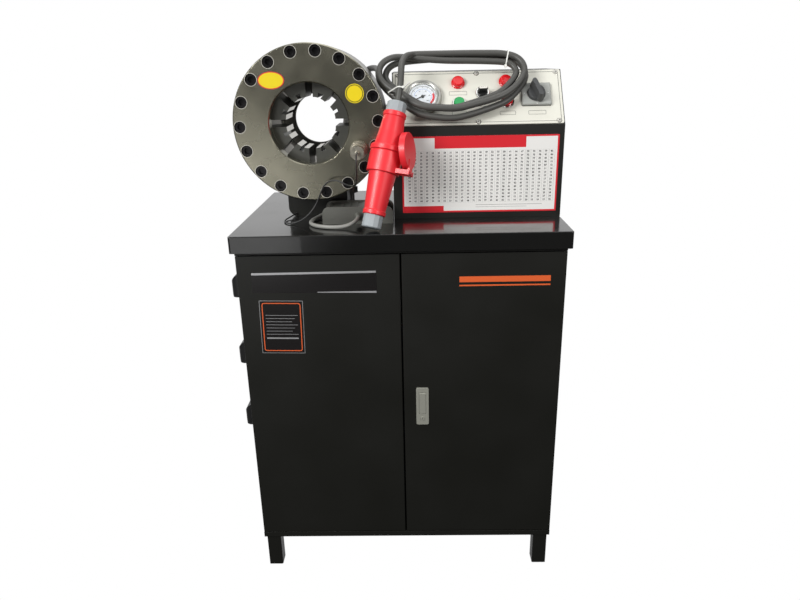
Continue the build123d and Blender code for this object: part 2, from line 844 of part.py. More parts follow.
def make_valve_block():
    """The manifold under the pressure pipe, with two solenoid coils."""
    half = block_size / 2
    middle = on_bench(pipe_x, pipe_y, 0)
    front = min(unit_y() - half, middle.Y - half)
    back = max(unit_y() + half, middle.Y + half)
    valve = block(pipe_x - half, pipe_x + half, front, back, tank_top(), tank_top() + block_height)
    valve = chamfer(valve.edges().filter_by(Axis.Z), 3)
    for height in (block_height * 0.3, block_height * 0.72):
        coil = stepped(((10, 6), (coil_radius, coil_length), (8, 8)))
        valve += Plane(origin=(pipe_x, front, tank_top() + height), z_dir=(0, -1, 0)) * coil
    return valve


def make_pressure_pipe():
    """The steel pipe and its fittings, from the valve block up to the cylinder."""
    middle = on_bench(pipe_x, pipe_y, 0)
    low = tank_top() + block_height
    reach = sqrt(body_radius ** 2 - (abs(head_x - pipe_x) + fitting_across / 2) ** 2)
    high = middle.Z + head_z - reach - 3
    pipe = round_bar(pipe_radius, (middle.X, middle.Y, low), (0, 0, 1), high - low)
    hexagon = RegularPolygon(fitting_across / 2, 6, major_radius=False)
    pipe += Pos(middle.X, middle.Y, low) * extrude(hexagon, 16)
    pipe += Pos(middle.X, middle.Y, high - 34) * extrude(hexagon, 14)
    cone = turned(((0, 0), (fitting_across / 2 - 1, 0), (fitting_across / 2 - 4, 20), (0, 20)))
    pipe += Pos(middle.X, middle.Y, high - 20) * cone
    return pipe


# ---- control box ----
def panel_place(x, up, rise=0.0):
    """A frame on the sloped panel: x along the bench, y up the slope, z out of the panel."""
    edge = on_bench(x, box_front, box_front_height)
    slope = radians(box_slope)
    run = up * cos(slope) - rise * sin(slope)
    climb = up * sin(slope) + rise * cos(slope)
    return Plane(
        origin=(edge.X, edge.Y + run, edge.Z + climb), x_dir=(1, 0, 0), z_dir=(0, -sin(slope), cos(slope))
    )


def box_profile(wall):
    """The control box's side view, pulled in by a wall."""
    front = box_front - half_depth
    slope = radians(box_slope)
    top = box_front_height + box_rise - wall
    low_corner = box_front_height - wall * (1 - sin(slope)) / cos(slope)
    high_corner = front + box_run + wall * (1 - cos(slope)) / sin(slope)
    return make_face(Polyline(
        (0, front + wall, bench_height + wall),
        (0, front + box_depth - wall, bench_height + wall),
        (0, front + box_depth - wall, bench_height + top),
        (0, high_corner, bench_height + top),
        (0, front + wall, bench_height + low_corner),
        close=True,
    ))


def panel_fittings():
    """Each hole in the panel as (x, up the slope, radius)."""
    holes = [(*gauge_at, gauge_body + seat_gap)]
    for spot in (*lamp_at, green_at, red_at, selector_at, cam_at):
        holes.append((*spot, switch_body_radius + seat_gap))
    return holes


def make_control_box():
    """The folded sheet box, hollow, with holes for the instruments and the cable gland."""
    outer = Pos(box_left, 0, 0) * extrude(box_profile(0), box_right - box_left, dir=(1, 0, 0))
    inner = Pos(box_left + box_sheet, 0, 0) * extrude(
        box_profile(box_sheet), box_right - box_left - 2 * box_sheet, dir=(1, 0, 0)
    )
    box = outer - inner
    for x, up, radius in panel_fittings():
        box -= panel_place(x, up, -3 * box_sheet) * extrude(Circle(radius), 6 * box_sheet)
    gland = on_bench(box_left - 1, box_gland_y, box_gland_z)
    box -= round_bar(box_gland_radius * 0.7 + seat_gap, gland, (1, 0, 0), 2 * box_sheet + 2)
    return box


def make_control_panel():
    """The face plate on the slope."""
    middle = (box_left + box_right) / 2
    width = box_right - box_left - 2 * panel_margin
    height = box_slope_length - 2 * panel_margin
    plate = panel_place(middle, box_slope_length / 2) * extrude(RectangleRounded(width, height, 4), panel_sheet)
    for x, up, radius in panel_fittings():
        plate -= panel_place(x, up, -1) * extrude(Circle(radius), panel_sheet + 2)
    return plate


def make_gauge_case():
    """The pressure gauge's case: a bright bezel round a recessed dial, and the body behind."""
    dial = gauge_rise - gauge_dial_depth
    rim = gauge_radius - 6
    case = turned((
        (0, -gauge_body_depth),
        (gauge_body, -gauge_body_depth),
        (gauge_body, 0),
        (gauge_radius, 0),
        (gauge_radius, gauge_rise * 0.5),
        (gauge_radius - 2, gauge_rise),
        (rim, gauge_rise),
        (rim - 2, gauge_rise - glass_sheet),
        (rim - 4, gauge_rise - glass_sheet),
        (rim - 4, dial),
        (0, dial),
    ))
    case += Pos(0, 0, dial - 0.5) * extrude(Circle(1.2), 2.0)
    return panel_place(*gauge_at, panel_sheet) * case


def make_gauge_glass():
    """The gauge's glass, seated in the bezel."""
    glass = extrude(Circle(gauge_radius - 8 - seat_gap), glass_sheet - 0.2)
    return panel_place(*gauge_at, panel_sheet + gauge_rise - glass_sheet + 0.1) * glass


def make_gauge_needle():
    """The needle on its spindle, resting at zero."""
    pointer = make_face(Polyline((-needle_length / 4, 1.4), (-needle_length / 4, -1.4), (needle_length, -0.4),
                                 (needle_length, 0.4), close=True))
    needle = extrude(pointer + Circle(needle_hub), needle_sheet)
    needle -= Pos(0, 0, -1) * extrude(Circle(1.2 + running_fit), needle_sheet + 2)
    dial = gauge_rise - gauge_dial_depth
    return panel_place(*gauge_at, panel_sheet + dial + 0.4) * Rot(0, 0, needle_rest) * needle


def make_pilot_lamps():
    """Two indicator lamps with domed lenses, and their bodies behind the panel."""
    lamp = turned((
        (0, -switch_body_depth),
        (switch_body_radius, -switch_body_depth),
        (switch_body_radius, 0),
        (lamp_radius, 0),
        (lamp_radius, 3),
        (lamp_radius - 1.5, 4),
        (lamp_radius - 1.5, lamp_rise - 2.5),
        (lamp_radius - 4, lamp_rise),
        (0, lamp_rise),
    ))
    return [panel_place(*spot, panel_sheet) * lamp for spot in lamp_at]


def make_bezels():
    """The metal bezels and bodies of the two push buttons and the selector."""
    inner = button_radius + seat_gap
    bezel = turned((
        (0, -switch_body_depth),
        (switch_body_radius, -switch_body_depth),
        (switch_body_radius, 0),
        (bezel_radius, 0),
        (bezel_radius, bezel_rise - 1),
        (bezel_radius - 1, bezel_rise),
        (inner, bezel_rise),
        (inner, 1.0),
        (8.0, 1.0),
        (8.0, -button_travel - 2),
        (0, -button_travel - 2),
    ))
    return [panel_place(*spot, panel_sheet) * bezel for spot in (green_at, red_at, selector_at)]


def make_button(spot):
    """A push button's cap and its stem."""
    lift = 1.0 + button_travel + seat_gap
    cap = turned((
        (0, -button_travel + seat_gap + 2),
        (0, -1.0),
        (7.6, -1.0),
        (7.6, lift),
        (button_radius, lift),
        (button_radius, lift + 3),
        (button_radius - 1.5, lift + 4.5),
        (0, lift + 4.5),
    )[1:])
    return panel_place(*spot, panel_sheet) * cap


def make_selector_knob():
    """The selector's short lever handle."""
    knob = extrude(Circle(button_radius - 0.5), 6)
    lever = Pos(0, 0, 6) * extrude(SlotOverall(2 * button_radius - 2, 7), 12)
    lever = chamfer(lever.edges().group_by(Axis.Z)[-1], 1.5)
    spindle = Pos(0, 0, -3) * extrude(Circle(7.6), 3)
    return panel_place(*selector_at, panel_sheet + 1.0 + seat_gap) * (knob + lever + spindle)


def make_cam_plate():
    """The rotary switch's square base, with its body behind the panel."""
    base = extrude(RectangleRounded(cam_plate_width, cam_plate_height, 2), cam_plate_rise)
    base = chamfer(base.edges().group_by(Axis.Z)[-1], 1.5)
    base += Pos(0, 0, -switch_body_depth) * extrude(Circle(switch_body_radius), switch_body_depth)
    base -= Pos(0, 0, cam_plate_rise - 3) * extrude(Circle(5 + running_fit), 4)
    return panel_place(*cam_at, panel_sheet) * base


def make_cam_knob():
    """The rotary switch's knob: a round skirt and a tapered grip."""
    skirt = turned(((0, 0), (cam_knob_radius, 0), (cam_knob_radius - 2, 6), (0, 6)))
    low = SlotOverall(2.5 * cam_knob_radius, 15)
    high = SlotOverall(2.2 * cam_knob_radius, 9)
    grip = loft([Pos(0, 0, 3) * low, Pos(0, 0, cam_knob_rise) * high])
    spindle = Pos(0, 0, -2.5) * extrude(Circle(5), 3)
    knob = skirt + grip + spindle
    return panel_place(*cam_at, panel_sheet + cam_plate_rise + seat_gap) * Rot(0, 0, 110) * knob


def make_box_gland():
    """The cable gland on the control box's left side."""
    start = on_bench(box_left, box_gland_y, box_gland_z)
    place = Plane(origin=start, x_dir=(0, 1, 0), z_dir=(-1, 0, 0))
    gland = place * extrude(RegularPolygon(box_gland_radius, 6, major_radius=False), 8)
    gland += place * Pos(0, 0, 8) * turned((
        (0, 0), (box_gland_radius - 1, 0), (supply_diameter / 2 + 1, box_gland_length - 8), (0, box_gland_length - 8)
    ))
    gland += place * Pos(0, 0, -8) * extrude(Circle(box_gland_radius * 0.7), 8)
    return gland


# ---- foot pedal ----
def pedal_frame():
    """The pedal's own frame: its middle along x, its front cheek's face, and the worktop."""
    place = on_bench(pedal_x, pedal_front, 0)
    return Pos(place.X, place.Y, place.Z)


def treadle_pivot():
    """The pin's place in the pedal's frame, as (x, z)."""
    return -pedal_length / 2 + 14, pedal_height - 12


def make_pedal_base():
    """The cast pedal frame: a floor between two cheeks, a switch housing, the pin and a cable boss."""
    outline = RectangleRounded(pedal_length, 2 * pedal_height, pedal_corner)
    outline &= Pos(0, pedal_height / 2) * Rectangle(pedal_length, pedal_height)
    base = Rot(90, 0, 0) * extrude(outline, -pedal_width)
    inner = pedal_width - pedal_cheek
    base -= block(-pedal_length, pedal_length, pedal_cheek, inner, pedal_floor, 2 * pedal_height)
    base += block(10, 10 + pedal_switch_length, pedal_cheek, inner, pedal_floor, pedal_floor + 9)
    x, z = treadle_pivot()
    base += round_bar(treadle_pin, (x, pedal_cheek - 1, z), (0, 1, 0), pedal_width - 2 * pedal_cheek + 2)
    exit_x = pedal_cable_route[0][0] - pedal_x
    exit_z = pedal_cable_route[0][2]
    boss_length = pedal_front - pedal_cable_route[0][1]
    base += Pos(exit_x, 0, exit_z) * Rot(90, 0, 0) * turned(
        ((0, -1), (8, -1), (8, 4), (pedal_cable_diameter / 2 + 1, boss_length), (0, boss_length))
    )
    return pedal_frame() * base


def make_pedal_treadle():
    """The ribbed treadle on its pin."""
    x, z = treadle_pivot()
    length = pedal_length - 26
    half = (pedal_width - 2 * pedal_cheek) / 2 - seat_gap
    blade = block(0, length, -half, half, 1, 1 + treadle_sheet)
    for number in range(6):
        left = 22 + number * 15
        blade += block(left, left + 6, -half + 4, half - 4, 1 + treadle_sheet, 2.5 + treadle_sheet)
    blade += round_bar(treadle_barrel, (0, -half, 0), (0, 1, 0), 2 * half)
    blade -= round_bar(treadle_pin + running_fit, (0, -half - 1, 0), (0, 1, 0), 2 * half + 2)
    return pedal_frame() * Pos(x, pedal_width / 2, z) * Rot(0, -treadle_angle / 3, 0) * blade


# ---- plug and coupler ----
def plug_frame(along):
    """A frame on the plug's axis: z along it, x turned to the right of the machine."""
    foot = on_bench(*plug_foot)
    tip = on_bench(*plug_tip)
    axis = (tip - foot).normalized()
    place = foot + axis * along
    side = (Vector(1, -0.35, 0) - axis * axis.dot(Vector(1, -0.35, 0))).normalized()
    return Plane(origin=place, x_dir=side, z_dir=axis)


def plug_length():
    """The whole length of the plug in its coupler."""
    return (on_bench(*plug_tip) - on_bench(*plug_foot)).length


def lid_hinge():
    """Where the lid's hinge lies in the plug's frame: out from the axis and along it."""
    return collar_radius + lid_hinge_out, collar_from + lid_hinge_above


def make_coupler():
    """The red coupler below, with its wide collar and the lid's hinge lugs."""
    body = turned((
        (0, lower_gland),
        (21.5, lower_gland),
        (23, lower_gland + 1.5),
        (23, lower_gland + 8),
        (21.5, lower_gland + 10),
        (27.5, collar_from),
        (collar_radius - 1, collar_from),
        (collar_radius, collar_from + 1),
        (collar_radius, collar_to - 2),
        (collar_radius - 1, collar_to),
        (0, collar_to),
    ))
    out, along = lid_hinge()
    tip = out + lid_knuckle - 1
    for side in (-1, 1):
        near = min(side * lid_lug, side * (lid_lug + 4))
        body += block(collar_radius - 4, tip, near, near + 4, along - lid_knuckle, along + lid_knuckle - 1)
    body += round_bar(lid_hinge_pin, (out, -lid_lug - 3, along), (0, 1, 0), 2 * lid_lug + 6)
    return plug_frame(0) * body


def make_plug():
    """The red plug above: a wide rim on the collar, then a taper to the ring under its gland."""
    top = plug_length() - upper_gland
    start = collar_to + seat_gap
    rim_end = start + plug_rim_width
    body = turned((
        (0, start),
        (plug_rim_radius - 1, start),
        (plug_rim_radius, start + 1),
        (plug_rim_radius, rim_end - 2),
        (plug_rim_radius - 2, rim_end),
        (28.5, rim_end + 0.5),
        (24.5, rim_end + 28),
        (21.5, top - 10),
        (23, top - 8.5),
        (23, top - 1.5),
        (21.5, top),
        (0, top),
    ))
    return plug_frame(0) * body


def make_gland_nuts():
    """The ribbed grey nuts at both ends, the upper one round the cable."""
    nut = extrude(RegularPolygon(gland_across / 2, 12, major_radius=False), lower_gland)
    nut = chamfer(nut.edges().group_by(Axis.Z)[0], 2)
    upper = extrude(RegularPolygon(gland_across / 2, 12, major_radius=False), upper_gland)
    upper = chamfer(upper.edges().group_by(Axis.Z)[-1], 3)
    return [plug_frame(0) * nut, plug_frame(plug_length() - upper_gland) * upper]


def make_coupler_lid():
    """The coupler's round lid, which its hinge holds open beside the plug, leaning back towards it."""
    cup = turned((
        (0, 0),
        (lid_radius - 1, 0),
        (lid_radius, 1),
        (lid_radius, lid_depth),
        (lid_radius - lid_wall, lid_depth),
        (lid_radius - lid_wall, lid_wall),
        (0, lid_wall),
    ))
    reach = lid_knuckle + 3
    width = 2 * lid_lug - 2
    lid = Pos(2, 0, reach + lid_radius) * Rot(0, -90, 0) * cup
    lid += block(-1, 3.5, -width / 2, width / 2, 0, reach + lid_radius / 2)
    lid += round_bar(lid_knuckle, (0, -width / 2, 0), (0, 1, 0), width)
    lid -= round_bar(lid_hinge_pin + running_fit, (0, -lid_radius, 0), (0, 1, 0), 2 * lid_radius)
    out, along = lid_hinge()
    return plug_frame(0) * Pos(out, 0, along) * Rot(0, -lid_lean, 0) * lid


# ---- cables ----
def cord_radii(route):
    """The bend at each inner point: as large as its two runs allow."""
    radii = []
    for before, corner, after in zip(route, route[1:], route[2:]):
        turn = radians((corner - before).get_angle(after - corner))
        shorter = min((corner - before).length, (after - corner).length)
        radii.append(bend_share * shorter / tan(turn / 2))
    return radii


def make_cord(name, points, diameter):
    """A round cable along straight runs joined by tangent arcs."""
    route = [on_bench(*point) for point in points]
    radii = cord_radii(route)
    path = FilletPolyline(*route, radius=radii)
    start = Plane(origin=path @ 0, z_dir=path % 0)
    tube = sweep(start * Circle(diameter / 2), path=path)
    expected = pi * diameter ** 2 / 4 * path.length
    print(name, "length", round(path.length), "smallest radius", round(min(radii), 1),
          "volume ratio", round(tube.volume / expected, 4))
    return tube


def coil_outline(shrink):
    """The coil's outline on its own plane, round a few circles, pulled in by a width."""
    edges = []
    for x, up, radius in coil_rounds:
        edges.append(Pos(x, up) * CenterArc((0, 0), radius, 0, 360).edge())
    hull = make_hull(edges)
    if shrink:
        hull = offset(hull, -shrink)
    return hull


def make_supply_coil():
    """The tied turns of the supply cable, as one ring that leans on the panel."""
    ring = extrude(coil_outline(0), coil_thickness)
    ring = fillet(ring.edges().group_by(Axis.Z)[-1], coil_edge)
    ring = fillet(ring.edges().group_by(Axis.Z)[0], coil_edge)
    ring -= Pos(0, 0, -1) * extrude(coil_outline(coil_band), coil_thickness + 2)
    place = panel_place(0, 0, coil_inner_face)
    return place * ring


# ---- the whole machine ----
def machine():
    """Every node by name, with its solid or group of solids."""
    nodes = {
        "worktop": make_worktop(),
        "carcass": make_carcass(),
        "legs": make_legs(),
        "left_door": make_door(-1),
        "right_door": make_door(1),
        "hinge_pins": make_hinge_pins(),
        "lock_plate": make_lock_plate(),
        "lock_paddle": make_lock_paddle(),
        "drawer_runners": make_runners(),
        "head_ring": make_head_ring(),
        "ring_bolts": make_ring_bolts(),
        "cylinder_body": make_cylinder_body(),
        "cone_piston": make_piston(),
        "saddle": make_saddle(),
        "limit_sensor": make_sensor(),
        "pressure_pipe": make_pressure_pipe(),
        "oil_tank": make_tank(),
        "tank_cap": make_tank_cap(),
        "motor": make_motor(),
        "pump": make_pump(),
        "valve_block": make_valve_block(),
        "control_box": make_control_box(),
        "control_panel": make_control_panel(),
        "gauge_case": make_gauge_case(),
        "gauge_glass": make_gauge_glass(),
        "gauge_needle": make_gauge_needle(),
        "pilot_lamps": make_pilot_lamps(),
        "button_bezels": make_bezels(),
        "green_button": make_button(green_at),
        "red_button": make_button(red_at),
        "selector_knob": make_selector_knob(),
        "switch_base": make_cam_plate(),
        "switch_knob": make_cam_knob(),
        "cable_gland": make_box_gland(),
        "pedal_base": make_pedal_base(),
        "pedal_treadle": make_pedal_treadle(),
        "coupler": make_coupler(),
        "plug": make_plug(),
        "gland_nuts": make_gland_nuts(),
        "coupler_lid": make_coupler_lid(),
        "supply_coil": make_supply_coil(),
        "supply_lead": make_cord("supply_lead", lead_route, supply_diameter),
        "supply_tail": make_cord("supply_tail", tail_route, supply_diameter),
        "pedal_cable": make_cord("pedal_cable", pedal_cable_route, pedal_cable_diameter),
        "sensor_wire": make_cord("sensor_wire", sensor_wire_route, sensor_wire_diameter),
    }
    for number, name in enumerate(drawer_names):
        nodes[f"drawer_{name}"] = make_drawer(number)
        nodes[f"pull_{name}"] = make_pull(number)
    for number in range(shoe_count):
        nodes[f"shoe_{number + 1}"] = make_shoe(number)
    return nodes


def export_machine():
    """Writes each node to its own STEP file, in the machine's frame."""
    os.makedirs("parts", exist_ok=True)
    for name, shape in machine().items():
        solids = shape if isinstance(shape, list) else [shape]
        pieces = [piece for solid in solids for piece in solid.solids()]
        node = Pos(origin_shift, 0, 0) * Compound(children=pieces)
        node.label = name
        export_step(node, f"parts/{name}.step")


export_machine()
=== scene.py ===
# %% [markdown]
# # Hose crimping machine
# This machine squeezes steel ferrules onto hydraulic hose. It's a black steel cabinet with a crimping head
# and a control box on its worktop. The construction model carries every shape that bears load or moves.
# This notebook gives those shapes their surfaces and adds what is soft or thin: cables, print, plates and
# ties. Modelling everything again in Blender would be possible, but then nothing would fit to a tenth of a
# millimetre.

import bpy
import math
from mathutils import Matrix, Vector


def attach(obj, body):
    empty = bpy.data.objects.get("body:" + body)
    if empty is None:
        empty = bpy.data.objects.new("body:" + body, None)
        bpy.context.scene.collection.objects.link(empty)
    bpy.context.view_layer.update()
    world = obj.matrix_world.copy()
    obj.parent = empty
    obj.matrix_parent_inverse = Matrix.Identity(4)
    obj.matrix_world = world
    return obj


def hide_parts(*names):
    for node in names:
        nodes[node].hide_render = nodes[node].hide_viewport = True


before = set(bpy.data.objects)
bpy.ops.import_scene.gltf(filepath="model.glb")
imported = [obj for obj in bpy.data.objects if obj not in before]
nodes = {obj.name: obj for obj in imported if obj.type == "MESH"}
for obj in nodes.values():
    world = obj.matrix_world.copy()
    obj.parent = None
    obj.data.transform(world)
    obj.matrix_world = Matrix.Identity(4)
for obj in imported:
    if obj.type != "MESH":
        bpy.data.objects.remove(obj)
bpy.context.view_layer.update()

# %% [markdown]
# ## One way of saying where things are
# A fitter measures from an edge, and here that is the middle of the worktop's front edge. The origin of the
# whole machine is on the floor, so `bench` shifts from one to the other. The sloped panel has directions of
# its own. World coordinates could be typed for each piece, but these few helpers keep the sizes readable:
# they take millimetres and give Blender its metres.

# %% Places
MM = 0.001
SLOPE = math.radians(53.0)
UP_PANEL = Vector((0, math.cos(SLOPE), math.sin(SLOPE)))
OFF_PANEL = Vector((0, -math.sin(SLOPE), math.cos(SLOPE)))
BOX_FRONT = 139.0
BOX_EDGE = 190.0


def bench(x, y, z):
    """A point x right of the worktop's middle, y behind its front edge and z above its top."""
    return Vector((x + 13.0, y - 240.0, z + 806.5)) * MM


def on_panel(x, up, rise=0.0):
    """A point on the sloped panel, raised off its metal."""
    return bench(x, BOX_FRONT, BOX_EDGE) + (UP_PANEL * up + OFF_PANEL * rise) * MM


def place_at(origin, right, up):
    """A frame whose inside is measured in millimetres: x right, y up, z out towards the viewer."""
    right, up = Vector(right).normalized(), Vector(up).normalized()
    turned = Matrix((right, up, right.cross(up))).transposed().to_4x4()
    turned.translation = origin
    return turned @ Matrix.Scale(MM, 4)


PANEL_FACE = 2.5


def panel_spot(x, up, rise=0.0):
    """A frame that lies on the control panel's face, or a little above it."""
    return place_at(on_panel(x, up, PANEL_FACE + rise), (1, 0, 0), UP_PANEL)


DOOR_FACE = 11.5
FACING = ((1, 0, 0), (0, 0, 1))
HEAD = bench(-182.0, 120.0, 202.0)
panel_place = panel_spot(0, 0)
box_place = place_at(bench(0, BOX_FRONT, 0), *FACING)
door_place = place_at(bench(0, DOOR_FACE, 0), *FACING)
head_place = place_at(HEAD, *FACING)
print("the head's face is at", [round(value, 4) for value in HEAD])

# %% [markdown]
# ## Small shape tools
# A plate, a sticker and a frame are cut from sheet, so each starts as an outline. They could be drawn by
# hand or cut with modifiers. A few lines of arithmetic are quicker to change and leave no stray faces.


# %% Outlines
def rounded(width, height, radius, x=0.0, y=0.0, steps=5):
    """The outline of a rectangle with round corners."""
    points = []
    for corner, (sx, sy) in enumerate(((1, 1), (-1, 1), (-1, -1), (1, -1))):
        cx = x + sx * (width / 2 - radius)
        cy = y + sy * (height / 2 - radius)
        for step in range(steps + 1):
            angle = math.radians(90 * corner + 90 * step / steps)
            points.append((cx + radius * math.cos(angle), cy + radius * math.sin(angle)))
    return points


def circle(radius, x=0.0, y=0.0, steps=40, tall=1.0):
    """The outline of a circle, or of an oval when tall isn't 1."""
    turns = [2 * math.pi * step / steps for step in range(steps)]
    return [(x + radius * math.cos(turn), y + radius * tall * math.sin(turn)) for turn in turns]


# %% [markdown]
# An outline becomes a solid when it gets a thickness. A frame needs two outlines, one inside the other.
# Extruding in edit mode gives the same faces, but a script is steadier when it builds them itself.


# %% Slabs and frames
def slab(outline, low, high):
    """An outline given a thickness."""
    count = len(outline)
    corners = [(x, y, low) for x, y in outline] + [(x, y, high) for x, y in outline]
    faces = [tuple(range(count, 2 * count)), tuple(range(count - 1, -1, -1))]
    faces += [(k, (k + 1) % count, count + (k + 1) % count, count + k) for k in range(count)]
    return corners, faces


def band(outer, inner, low, high):
    """A frame between two outlines with the same number of corners."""
    count = len(outer)
    corners = [(x, y, z) for z in (low, high) for outline in (outer, inner) for x, y in outline]
    faces = []
    for k in range(count):
        n = (k + 1) % count
        faces.append((2 * count + k, 2 * count + n, 3 * count + n, 3 * count + k))
        faces.append((n, k, count + k, count + n))
        faces.append((k, n, 2 * count + n, 2 * count + k))
        faces.append((count + n, count + k, 3 * count + k, 3 * count + n))
    return corners, faces


# %% [markdown]
# A screw head is turned on a lathe, so it is made the same way: a profile goes round an axis. A Screw
# modifier would do it too, but here several heads have to become one object.


# %% Turned shapes
def turned_shape(profile, steps=40):
    """A shape turned round z, from (radius, height) points."""
    corners, faces = [], []
    for radius, height in profile:
        for step in range(steps):
            angle = 2 * math.pi * step / steps
            corners.append((radius * math.cos(angle), radius * math.sin(angle), height))
    for row in range(len(profile) - 1):
        for step in range(steps):
            after = (step + 1) % steps
            faces.append((row * steps + step, row * steps + after, (row + 1) * steps + after,
                          (row + 1) * steps + step))
    return corners, faces


def moved(shape, x=0.0, y=0.0, turn=0.0):
    """A shape turned in its own plane, then moved."""
    corners, faces = shape
    c, s = math.cos(math.radians(turn)), math.sin(math.radians(turn))
    return [(x + px * c - py * s, y + px * s + py * c, pz) for px, py, pz in corners], faces


# %% [markdown]
# A fitting belongs to the body that it is fixed to, and moves with it: a plate rides on its door. Parenting
# each object by hand would work, but it's easily forgotten, so the body's name is asked for where a piece
# is made.


# %% A piece on its body
SMOOTH_BELOW = math.radians(35)


def piece(name, place, shapes, material, body="cabinet", smooth=False):
    """One object from several shapes, in a place, riding on a body of the machine."""
    corners, faces = [], []
    for more_corners, more_faces in shapes:
        start = len(corners)
        corners += [tuple(place @ Vector(corner)) for corner in more_corners]
        faces += [tuple(start + index for index in face) for face in more_faces]
    mesh = bpy.data.meshes.new(name)
    mesh.from_pydata(corners, [], faces)
    mesh.validate()
    mesh.materials.append(material)
    made = bpy.data.objects.new(name, mesh)
    bpy.context.scene.collection.objects.link(made)
    if smooth:
        mesh.polygons.foreach_set("use_smooth", [True] * len(mesh.polygons))
        mesh.set_sharp_from_angle(angle=SMOOTH_BELOW)
    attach(made, body)
    return made


# %% [markdown]
# ## Surfaces
# Real parts have a finish, not only a colour. Each one here is a principled shader with its even values set
# straight on it. No real edge is perfectly sharp, and a bevel on each mesh could show that. Softening the
# edges in the shading shows it as well and leaves the construction model's faces alone.


# %% A plain finish
def surface(name, colour, roughness, metallic=0.0, coat=0.0, edge=0.5):
    """A principled material whose sharp edges catch light over a small width, in millimetres."""
    made = bpy.data.materials.new(name)
    made.use_nodes = True
    shader = made.node_tree.nodes["Principled BSDF"]
    shader.inputs["Base Color"].default_value = (*colour, 1.0)
    shader.inputs["Roughness"].default_value = roughness
    shader.inputs["Metallic"].default_value = metallic
    shader.inputs["Coat Weight"].default_value = coat
    if edge:
        bevel = made.node_tree.nodes.new("ShaderNodeBevel")
        bevel.samples = 4
        bevel.inputs["Radius"].default_value = edge * MM
        made.node_tree.links.new(bevel.outputs["Normal"], shader.inputs["Normal"])
    return made


# %% [markdown]
# Powder coat is faintly pebbled and a casting is rough. Displacing the mesh would need millions of faces
# for grain this fine, so noise tilts the shading instead, and can also make the gloss uneven.


# %% Grain and uneven gloss
def relief(made, texture, depth, strength):
    """Adds a texture's height to a material's normal, on top of its softened edges."""
    tree = made.node_tree
    shader = tree.nodes["Principled BSDF"]
    bump = tree.nodes.new("ShaderNodeBump")
    bump.inputs["Strength"].default_value = strength
    bump.inputs["Distance"].default_value = depth * MM
    for link in list(shader.inputs["Normal"].links):
        tree.links.new(link.from_socket, bump.inputs["Normal"])
    tree.links.new(texture.outputs["Fac"], bump.inputs["Height"])
    tree.links.new(bump.outputs["Normal"], shader.inputs["Normal"])


def spots(made, scale, detail=2.0, squeeze=(1, 1, 1)):
    """Noise over the machine's own coordinates, stretched where squeeze isn't 1."""
    tree = made.node_tree
    where = tree.nodes.new("ShaderNodeTexCoord")
    mapping = tree.nodes.new("ShaderNodeMapping")
    mapping.inputs["Scale"].default_value = squeeze
    noise = tree.nodes.new("ShaderNodeTexNoise")
    noise.inputs["Scale"].default_value = scale
    noise.inputs["Detail"].default_value = detail
    tree.links.new(where.outputs["Object"], mapping.inputs["Vector"])
    tree.links.new(mapping.outputs["Vector"], noise.inputs["Vector"])
    return noise


def map_range(tree, source, low, high, to_low, to_high):
    """Stretches a node's value from one span to another."""
    span = tree.nodes.new("ShaderNodeMapRange")
    span.inputs["From Min"].default_value = low
    span.inputs["From Max"].default_value = high
    span.inputs["To Min"].default_value = to_low
    span.inputs["To Max"].default_value = to_high
    tree.links.new(source, span.inputs["Value"])
    return span.outputs["Result"]


def vary_gloss(made, texture, low, high):
    """Lets a texture move the roughness between two limits."""
    tree = made.node_tree
    roughness = map_range(tree, texture.outputs["Fac"], 0.3, 0.7, low, high)
    tree.links.new(roughness, tree.nodes["Principled BSDF"].inputs["Roughness"])


def grain(made, scale, depth, strength, detail=2.0, squeeze=(1, 1, 1)):
    """Fine relief from noise: grains to the metre, their depth in millimetres, and how strongly they show."""
    relief(made, spots(made, scale, detail, squeeze), depth, strength)


# %% [markdown]
# A face turned on a lathe keeps the fine rings of the tool, all round one axis. An anisotropic shader can
# suggest them, and a wave texture centred on the axis draws them, which holds from every side.


# %% Rings of the lathe
def turning_rings(made, centre, scale):
    """Rings round a lathe axis through a point."""
    tree = made.node_tree
    where = tree.nodes.new("ShaderNodeTexCoord")
    mapping = tree.nodes.new("ShaderNodeMapping")
    mapping.inputs["Location"].default_value = [-c for c in centre]
    wave = tree.nodes.new("ShaderNodeTexWave")
    wave.wave_type = "RINGS"
    wave.rings_direction = "Y"
    wave.inputs["Scale"].default_value = scale
    wave.inputs["Distortion"].default_value = 1.5
    wave.inputs["Detail"].default_value = 3.0
    tree.links.new(where.outputs["Object"], mapping.inputs["Vector"])
    tree.links.new(mapping.outputs["Vector"], wave.inputs["Vector"])
    return wave


# %% [markdown]
# ## Paint
# The cabinet is powder coated in a dull black, and the worktop in a glossier one because hoses are dragged
# over it. The panel is a pale, nearly flat enamel. One black for both would be simpler, but the worktop
# mirrors the control box and the doors don't.

# %% Paints
cabinet_paint = surface("cabinet_paint", (0.0062, 0.0062, 0.0045), 0.40, edge=0.8)
grain(cabinet_paint, 900.0, 0.15, 0.25, 3.0)
vary_gloss(cabinet_paint, spots(cabinet_paint, 6.0), 0.38, 0.48)

worktop_paint = surface("worktop_paint", (0.006, 0.006, 0.0055), 0.14, coat=0.4, edge=1.2)
grain(worktop_paint, 260.0, 0.2, 0.12)
vary_gloss(worktop_paint, spots(worktop_paint, 9.0, 4.0), 0.10, 0.22)

panel_paint = surface("panel_paint", (0.70, 0.69, 0.61), 0.34, edge=0.5)
grain(panel_paint, 700.0, 0.1, 0.08)
print("finishes so far:", len(bpy.data.materials))

# %% [markdown]
# ## Bare steel
# The head's ring is turned and left bare under a film of oil, so its colour is a warm grey and its gloss
# uneven. The cylinder body is brushed, and the shoes are oiled dark except where they grip. Metal gets its
# look from what it reflects, so these finishes are metallic, with a colour that is only as bright as the
# steel.

